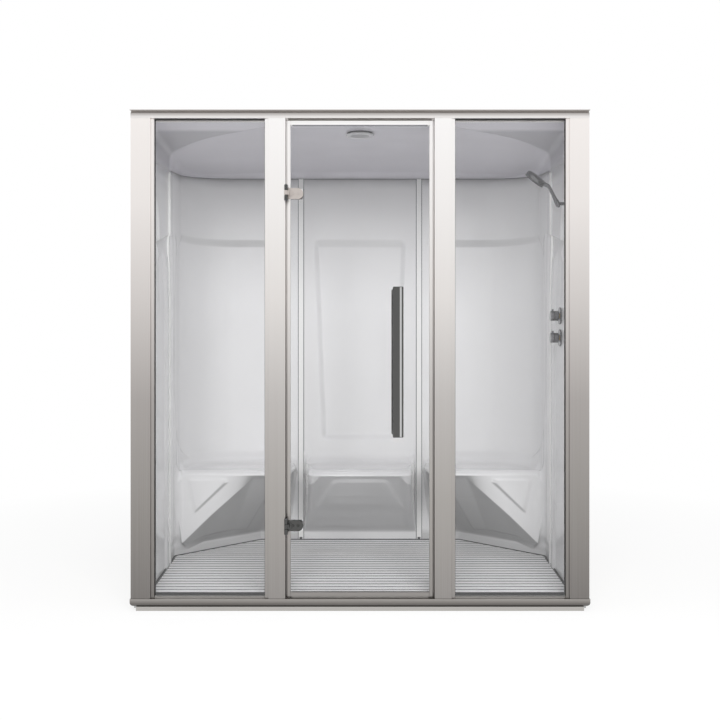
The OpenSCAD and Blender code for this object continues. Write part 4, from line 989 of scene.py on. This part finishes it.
def slat_section(width, ribs=3):
    low, top = FLOOR_Z - SLAT_TH, FLOOR_Z
    points = [(0.8, low), (0.0, low + 0.8), (0.0, top - 1.9), (1.3, top - 0.6)]
    step = width / ribs
    for a in step * np.arange(ribs):
        points += [(a + 1.6, top - 0.2), (a + 2.8, top), (a + step - 2.4, top),
                   (a + step - 1.2, top - 0.2), (a + step - 0.8, top - 2.2),
                   (a + step + 0.6, top - 2.2)]
    return points[:-2] + [(width - 1.3, top - 0.6), (width, top - 1.9),
                          (width, low + 0.8), (width - 0.8, low)]


def slats(name, places):
    """Slats at these places. The first three and the last four faces round, and both ends, are
    black as painted shade.
    """
    profile, solids = slat_section(PITCH - SLAT_GAP), []
    for i in places:
        section = [(FIRST_SLAT + i * PITCH + a, z) for a, z in profile]
        solids.append(tube([[(s * float(floor_half(t)), t, z) for t, z in section]
                            for s in (-1, 1)]))
    verts, faces = join_solids(solids)
    # Painted shade: the black rubber finish on the sides, top edges and ends draws the shadow in
    # the gaps.
    finish = [int(j < 3 or j > len(profile) - 5) for j in range(len(profile))] + [1, 1]
    return mesh_piece(name, row_frame(verts), faces, [slat_aluminium, epdm_rubber],
                      finish * len(solids), soft=False)


fitted(slats("front_grate", range(FRONT_SLATS)), "floor_grate", "slat_aluminium",
       "front_floor_slats")
fitted(slats("rear_grate", range(FRONT_SLATS, SLAT_COUNT)), "cabin", "slat_aluminium",
       "rear_floor_slats")
print("slat pitch:", round(PITCH, 1), "mm")

# %% [markdown]
# ## Seals, joints and thin trim
# Dark lines in a white room are mostly seals: rubber under the seam strips, silicone where the
# walls meet the ceiling, and rubber along the floor's edge, above the door and below it. A
# darker strip fills the rebate of the header as painted shade, and a pale strip down the handle
# is partly its satin side and partly a painted highlight. Each is a thin solid along the edge
# that it belongs to.

# %% Bars and beads
def bar(name, lo, hi, finish):
    """A straight bar between two corners in mm, with a small chamfer on its long edges."""
    low, high = np.array(lo, float), np.array(hi, float)
    along, c = int(np.argmax(high - low)), min(0.3 * (high - low).min(), 1.2)
    u, v = [axis_number for axis_number in range(3) if axis_number != along]
    outline = [(low[u] + c, low[v]), (high[u] - c, low[v]), (high[u], low[v] + c),
               (high[u], high[v] - c), (high[u] - c, high[v]), (low[u] + c, high[v]),
               (low[u], high[v] - c), (low[u], low[v] + c)]
    rings = np.zeros((2, 8, 3))
    rings[..., [u, v]] = outline
    rings[0, :, along], rings[1, :, along] = low[along], high[along]
    return solid_piece(name, tube(rings), finish)


def round_rings(path, radii, guide, sides):
    """Rings round each point of path. Their first points lie square to run and guide."""
    run = unit(np.gradient(path, axis=0))
    u = unit(np.cross(run, guide))
    v = np.cross(run, u)
    turn = (2 * math.pi * np.arange(sides) / sides)[None, :, None]
    return path[:, None] + radii * (np.cos(turn) * u[:, None] + np.sin(turn) * v[:, None])


def bead(name, path, radius, finish):
    rings = round_rings(path, radius, [0, 0, 1.0], 8)
    fitted(solid_piece(name, tube(rings), finish, soft=True), "cabin", "black_rubber")

# %% Seals and trim
def both_halves(half):
    """A path on the right side, continued on the left side."""
    return joined([half, (half * MIRRORED)[::-1]])


def rubber_bar(name, lo, hi, finish, body="cabin"):
    fitted(bar(name, lo, hi, finish), body, "black_rubber")


for side, s in SIDES:
    seam_x = s * HALF_MIDDLE
    rubber_bar(side + "_strip_seal", (seam_x - 17, BACK_Y - 1.2, FOOT_Z + 8),
               (seam_x + 17, BACK_Y + 0.5, FLAT_Z - 8), joint_silicone)
    rubber_bar(side + "_strip_foot", (seam_x - 8, BACK_Y - 7.5, FOOT_Z + 0.3),
               (seam_x + 8, BACK_Y - 0.5, FOOT_Z + 23), black_abs)

corner_turn = np.radians(even(2, 90, 24))
straight_t = even(640, CORNER_Y, 10)
joint = both_halves(joined([
    np.stack([side_x(straight_t), straight_t], axis=1),
    np.stack([CORNER_X + CORNER_R * np.cos(corner_turn),
              CORNER_Y + CORNER_R * np.sin(corner_turn)], axis=1)]))
joint = joined([joint, wall_top(joint[:, 1])[:, None]], axis=1)
joint[:, :2] -= unit(joint[:, :2])
bead("ceiling_joint", joint, 2.4, joint_silicone)

edge = np.array([[side_x(100.0), 100.0], [SIDE_X1, CUT_Y], [SIDE_X1 - FLOOR_CUT, BACK_Y]])
edge = both_halves(spread(edge - 3, 60))
edge = joined([edge, np.full((len(edge), 1), FLOOR_Z + 0.8)], axis=1)
bead("floor_edge_seal", edge, 3.0, epdm_rubber)

# Painted shade: a darker strip set in the header's rebate, where the cap shades it.
header_end = box_mm("header")[1]
cove = [(7.9, -0.3), (7.2, -4.8), (5.5, -7.0), (3.0, -8.2), (0.6, -8.8), (7.9, -8.8)]
rings = [[(s * (header_end.x - 0.3), t, header_end.z + z) for t, z in cove] for s in (-1, 1)]
fitted(solid_piece("header_shadow_strip", tube(rings), shadow_aluminium),
       "cabin", "satin_aluminium")
leaf_top = box_mm("door_top_rail")[1].z
rubber_bar("door_head_seal", (-302, 20, leaf_top + 1.8), (302, 27, leaf_top + 7.8), grey_seal)
rubber_bar("door_glass_gasket", (-284, 13.4, leaf_top - 21.5), (284, 19.9, leaf_top - 16.5),
           joint_silicone, "door")
rubber_bar("door_sweep_lip", (-286, 15, 53.2), (286, 19, 58), grey_seal, "door")
# A pale stainless strip down the handle: partly its satin side, partly a painted highlight.
handle_low, handle_high = box_mm("outer_handle")
highlight_strip_x, handle_t = handle_high.x - 15, handle_low.y - Y_SHIFT
fitted(bar("handle_highlight_strip", (highlight_strip_x, handle_t - 0.4, handle_low.z + 3),
           (highlight_strip_x + 7.5, handle_t + 0.6, handle_high.z - 3), stainless), "door",
       "dark_chrome")
print("bead length:", round(float(length(np.diff(joint, axis=0)).sum())), "mm")

# %% [markdown]
# ## Hand shower
# The real hand shower is one casting in chrome-plated ABS: a tapered grip that bends into a
# round head. Its profile is turned and swept as two closed solids, a voxel remesh melts them
# together, and a little smoothing rounds the place where they meet, as a mould-maker would.

# %% Grip, neck and head
GRIP_TILT, HEAD_TURN, HEAD_LEAN, RING_OUT = 26.0, 22.0, 66.0, 37.0
HEAD_R, GRIP_L = 48.0, 120.0
GRIP_PROFILE = [(-18, 4.5), (-16, 5.5), (-10, 7.9), (9, 7.9), (10, 7.9), (15, 9.4),
                (18, 9.4), (40, 8.0)]
DRUM_PROFILE = [(0, 0), (44.0, 0), (47.2, 1.5), (48, 5), (48, 14), (46.5, 18), (42, 21.5),
                (34, 24), (20, 25.6), (0, 26)]
COLLAR_PROFILE = [(8.2, 11.4), (11.2, 11.6), (11.8, 12.6), (11.8, 13.6), (11.2, 14.6),
                  (8.2, 15.0)]

grip_frame = (Matrix.Translation((float(side_x(SHOWER_T)), SHOWER_T, HOLDER_Z))
              @ turned("Z", -SIDE_DEGREES) @ Matrix.Translation((-RING_OUT, 0, 0))
              @ turned("Y", -GRIP_TILT))
head_place = (turned("Z", -HEAD_TURN) @ Matrix.Translation((3 - HEAD_R, 0, GRIP_L + 21))
              @ turned("Y", HEAD_LEAN))
head_in_room = grip_frame @ head_place

# %% Turned and swept solids
def swept(path, radii, place, n=28):
    """Closed round solid along path, with a radius for each point of it."""
    path = np.array([tuple(p) for p in path], float)
    rings = round_rings(path, np.array(radii)[:, None, None], [0, 1.0, 0], n)
    place = np.array(place)
    return tube(rings @ place[:3, :3].T + place[:3, 3])


def lathed(profile, place, n=72):
    """Closed solid of revolution from (radius, height) points."""
    return swept([(0, 0, z) for r, z in profile], [max(r, 0.05) for r, z in profile], place, n)


def melted(name, solids, finish, voxel_mm, passes):
    """Melts overlapping solids into one smooth skin and returns it as a new piece."""
    piece = solid_piece(name, join_solids(solids), finish)
    remesh = piece.modifiers.new("melt", "REMESH")
    remesh.mode, remesh.voxel_size = "VOXEL", voxel_mm / 1000
    rounding = piece.modifiers.new("round", "SMOOTH")
    rounding.factor, rounding.iterations = 0.5, passes
    piece.data = evaluated_mesh(piece)
    piece.modifiers.clear()
    piece.data.materials.clear()
    piece.data.materials.append(finish)
    piece.data.polygons.foreach_set("use_smooth", [True] * len(piece.data.polygons))
    print(name, "faces:", len(piece.data.polygons))
    return piece

# %% Body and collar
def neck_curve(count=16):
    """A bend from the top of the grip into the drum, as points of one Bezier curve."""
    a, d = Vector((0, 0, 62)), head_place @ Vector((HEAD_R - 12, 0, 12))
    way = (head_place.to_3x3() @ Vector((1, 0, 0.15))).normalized()
    b, c = a + Vector((0, 0, 34)), d + 34 * way
    return [(1 - k) ** 3 * a + 3 * k * (1 - k) ** 2 * b + 3 * k * k * (1 - k) * c
            + k ** 3 * d for k in even(0, 1, count)]


grip_run = [(0, 0, z) for z, r in GRIP_PROFILE] + neck_curve()
grip_radii = [r for z, r in GRIP_PROFILE] + list(7.6 + 2.4 * even(0, 1, 16) ** 2)
body_solids = [swept(grip_run, grip_radii, grip_frame), lathed(DRUM_PROFILE, head_in_room)]
fitted(melted("hand_shower_body", body_solids, fitting_chrome, 1.3, 3), "hand_shower",
       "chromed_plastic", "shower_head", "shower_grip")
fitted(solid_piece("grip_collar", lathed(COLLAR_PROFILE, grip_frame), fitting_chrome,
                   soft=True), "hand_shower", "chromed_plastic")

# %% [markdown]
# ### Spray face
# The spray face is silicone in a thin frame, with rings of soft nozzles that are rubbed to
# loosen scale.

# %% Spray face with its nozzles
FACE_PROFILE = [(0, -4.0), (46.6, -3.9), (47.6, -2.4), (47.3, -0.4), (0, -0.4)]
NOZZLE_PROFILE = [(1.0, -5.4), (1.3, -5.2), (1.9, -3.8)]
face_solids = [lathed(FACE_PROFILE, head_in_room)]
for ring, count in ((9, 6), (17, 11), (25, 16), (33, 21), (41, 26)):
    for a in (2 * math.pi * i / count for i in range(count)):
        here = head_in_room @ Matrix.Translation((ring * math.cos(a), ring * math.sin(a), 0))
        face_solids.append(lathed(NOZZLE_PROFILE, here, 8))
fitted(solid_piece("spray_face", join_solids(face_solids), spray_silicone), "hand_shower",
       "spray_rubber", "spray_plate")
print("nozzles:", len(face_solids) - 1)

# %% [markdown]
# ## Eased edges and finishes on the CAD pieces
# A real edge is never perfectly sharp: it is broken by a tool or by the die, and it catches a
# line of light. A Weld modifier joins the CAD mesh's separate faces, and a Bevel modifier
# rounds its sharp edges without touching the mesh itself.

# %% Finish and edge radius in mm of each CAD piece
cad_finishes = (
    (post_aluminium, 1.2, "left_post right_post"),
    (upright_aluminium, 1.2, "left_mullion right_mullion"),
    (upright_aluminium, 1.0, "door_hinge_stile door_lock_stile"),
    (level_aluminium, 1.0, "door_top_rail door_bottom_rail"),
    (header_aluminium, 0.8, "header"), (header_aluminium, 1.5, "header_cap"),
    (sill_aluminium, 0.8, "sill"), (base_aluminium, 0.8, "sill_base"),
    (clear_glass, 0, "left_pane right_pane door_glass"),
    (pane_seal, 0, "left_pane_gasket right_pane_gasket"),
    (epdm_rubber, 0.5, "door_seal"), (grey_seal, 0.5, "door_sweep"),
    (smoked_chrome, 0.6, "upper_hinge_bracket lower_hinge_bracket"),
    (hinge_plate, 0.8, "upper_hinge_leaf"), (smoked_chrome, 0.8, "lower_hinge_leaf"),
    (fitting_chrome, 0.4, "hinge_pins"), (polished_chrome, 0.8, "hinge_clamps steam_nozzle"),
    (screw_plating, 0.4, "hinge_screws"),
    (handle_chrome, 1.2, "outer_handle inner_handle"),
    (polished_chrome, 0.6, "handle_standoffs"),
    (coated_tray, 1.5, "tray_pan"), (black_abs, 0.6, "drain_body"),
    (black_abs, 1.0, "tray_feet front_floor_bearers rear_floor_bearers"),
    (stainless, 0.5, "drain_grate"),
    (lamp_ring, 0.8, "lamp_bezel"), (opal_lens, 0.8, "lamp_lens"),
    (lamp_paint, 1.0, "lamp_housing"),
    (mill_aluminium, 1.0, "frame_uprights frame_rails"), (zinc_steel, 0.6, "frame_bolts"),
    (cast_brass, 0.6, "valve_bodies"), (fitting_chrome, 1.0, "valve_plates"),
    (fitting_chrome, 2.0, "upper_valve_knob lower_valve_knob"),
    (fitting_chrome, 0.8, "shower_wall_plate"), (fitting_chrome, 1.5, "shower_holder"),
)

# %% Set the finishes and ease the edges
def finish_node(node, finish, edge_mm):
    piece = nodes[node]
    piece.data.materials.clear()
    piece.data.materials.append(finish)
    if edge_mm:
        piece.modifiers.new("weld", "WELD").merge_threshold = 0.00002
        eased = piece.modifiers.new("eased", "BEVEL")
        eased.width, eased.segments = edge_mm / 1000, 2
        eased.limit_method, eased.angle_limit = "ANGLE", math.radians(35)
        eased.harden_normals = True


for finish, edge_mm, names in cad_finishes:
    for node in names.split():
        finish_node(node, finish, edge_mm)
print("CAD finishes set:", len(cad_finishes))

# %% [markdown]
# ## Floor, light and camera
# The cabin stands on a plain pale floor in a white studio. One large soft light in front of
# it, above the camera, fills the room through the glass, and a second one overhead keeps the
# outside even. Away from the cabin the floor glows as white as the backdrop, so no horizon
# shows. The camera stands where the photograph was taken: 3.58 m in front of the posts and
# 1.06 m high, looking straight ahead.

# %% Studio
CAMERA_DISTANCE, CAMERA_HEIGHT, IMAGE_WIDTH = 3576, 1.064, 720
FLOOR_HALF, FLOOR_DROP = 12.0, 0.0005
WORLD_FILL = 0.32


def rays_that_see(tree):
    """1 for rays from the camera, in a mirror and through glass, and 0 for light."""
    path = add_node(tree, "LightPath").outputs
    seen = calc(tree, "MAXIMUM", path["Is Camera Ray"], path["Is Glossy Ray"])
    return calc(tree, "MAXIMUM", seen, path["Is Transmission Ray"])


def soft_light(name, place, aim, size, energy):
    lamp = bpy.data.lights.new(name, "AREA")
    lamp.shape = "RECTANGLE"
    lamp.size, lamp.size_y = size
    lamp.energy = energy
    light = bpy.data.objects.new(name, lamp)
    light.visible_glossy = False
    light.location = place
    light.rotation_euler = (Vector(aim) - Vector(place)).to_track_quat("-Z", "Y").to_euler()
    bpy.context.scene.collection.objects.link(light)

# %% Floor and backdrop
tree = empty_finish("studio_floor")
pale = add_node(tree, "BsdfDiffuse", {"Color": to_linear("#f7f7f7")})
glow = add_node(tree, "Emission", {"Color": WHITE, "Strength": 1.0})
reach = vector_calc(tree, "LENGTH", position(tree))
far = ranged(tree, reach, 0.8, 1, 1, 3.5)
share = calc(tree, "MULTIPLY", rays_that_see(tree), far)
corners = [(-1, -1, 0), (1, -1, 0), (1, 1, 0), (-1, 1, 0)]
floor = mesh_piece("studio_floor", FLOOR_HALF * np.array(corners), [(0, 1, 2, 3)],
                   [two_shaders(tree, share, pale, glow)], soft=False)
floor.location.z = -FLOOR_DROP

world = bpy.data.worlds.new("studio")
bpy.context.scene.world = world
world.use_nodes = True
tree = world.node_tree
tree.nodes.clear()
strength = ranged(tree, rays_that_see(tree), WORLD_FILL, 1, 0, 1)
back = add_node(tree, "Background", {"Color": WHITE, "Strength": strength})
add_node(tree, "OutputWorld", {"Surface": back.outputs["Background"]})

# %% Lights and camera
soft_light("front_softbox", (0.3, -5.0, 3.3), (0, 0, 1.3), (4.0, 2.4), 300)
soft_light("overhead", (0, -0.4, 4.4), (0, 0, 0), (4.0, 3.0), 90)

camera_data = bpy.data.cameras.new("camera")
camera_data.sensor_width = 36.0
camera_data.lens = 42.75
camera_data.shift_y = -3 / IMAGE_WIDTH
camera = bpy.data.objects.new("camera", camera_data)
camera.location = (0.0, (Y_SHIFT - CAMERA_DISTANCE) / 1000, CAMERA_HEIGHT)
camera.rotation_euler = (math.radians(90), 0, 0)
bpy.context.scene.collection.objects.link(camera)
bpy.context.scene.camera = camera
bpy.context.scene.view_settings.view_transform = "Standard"
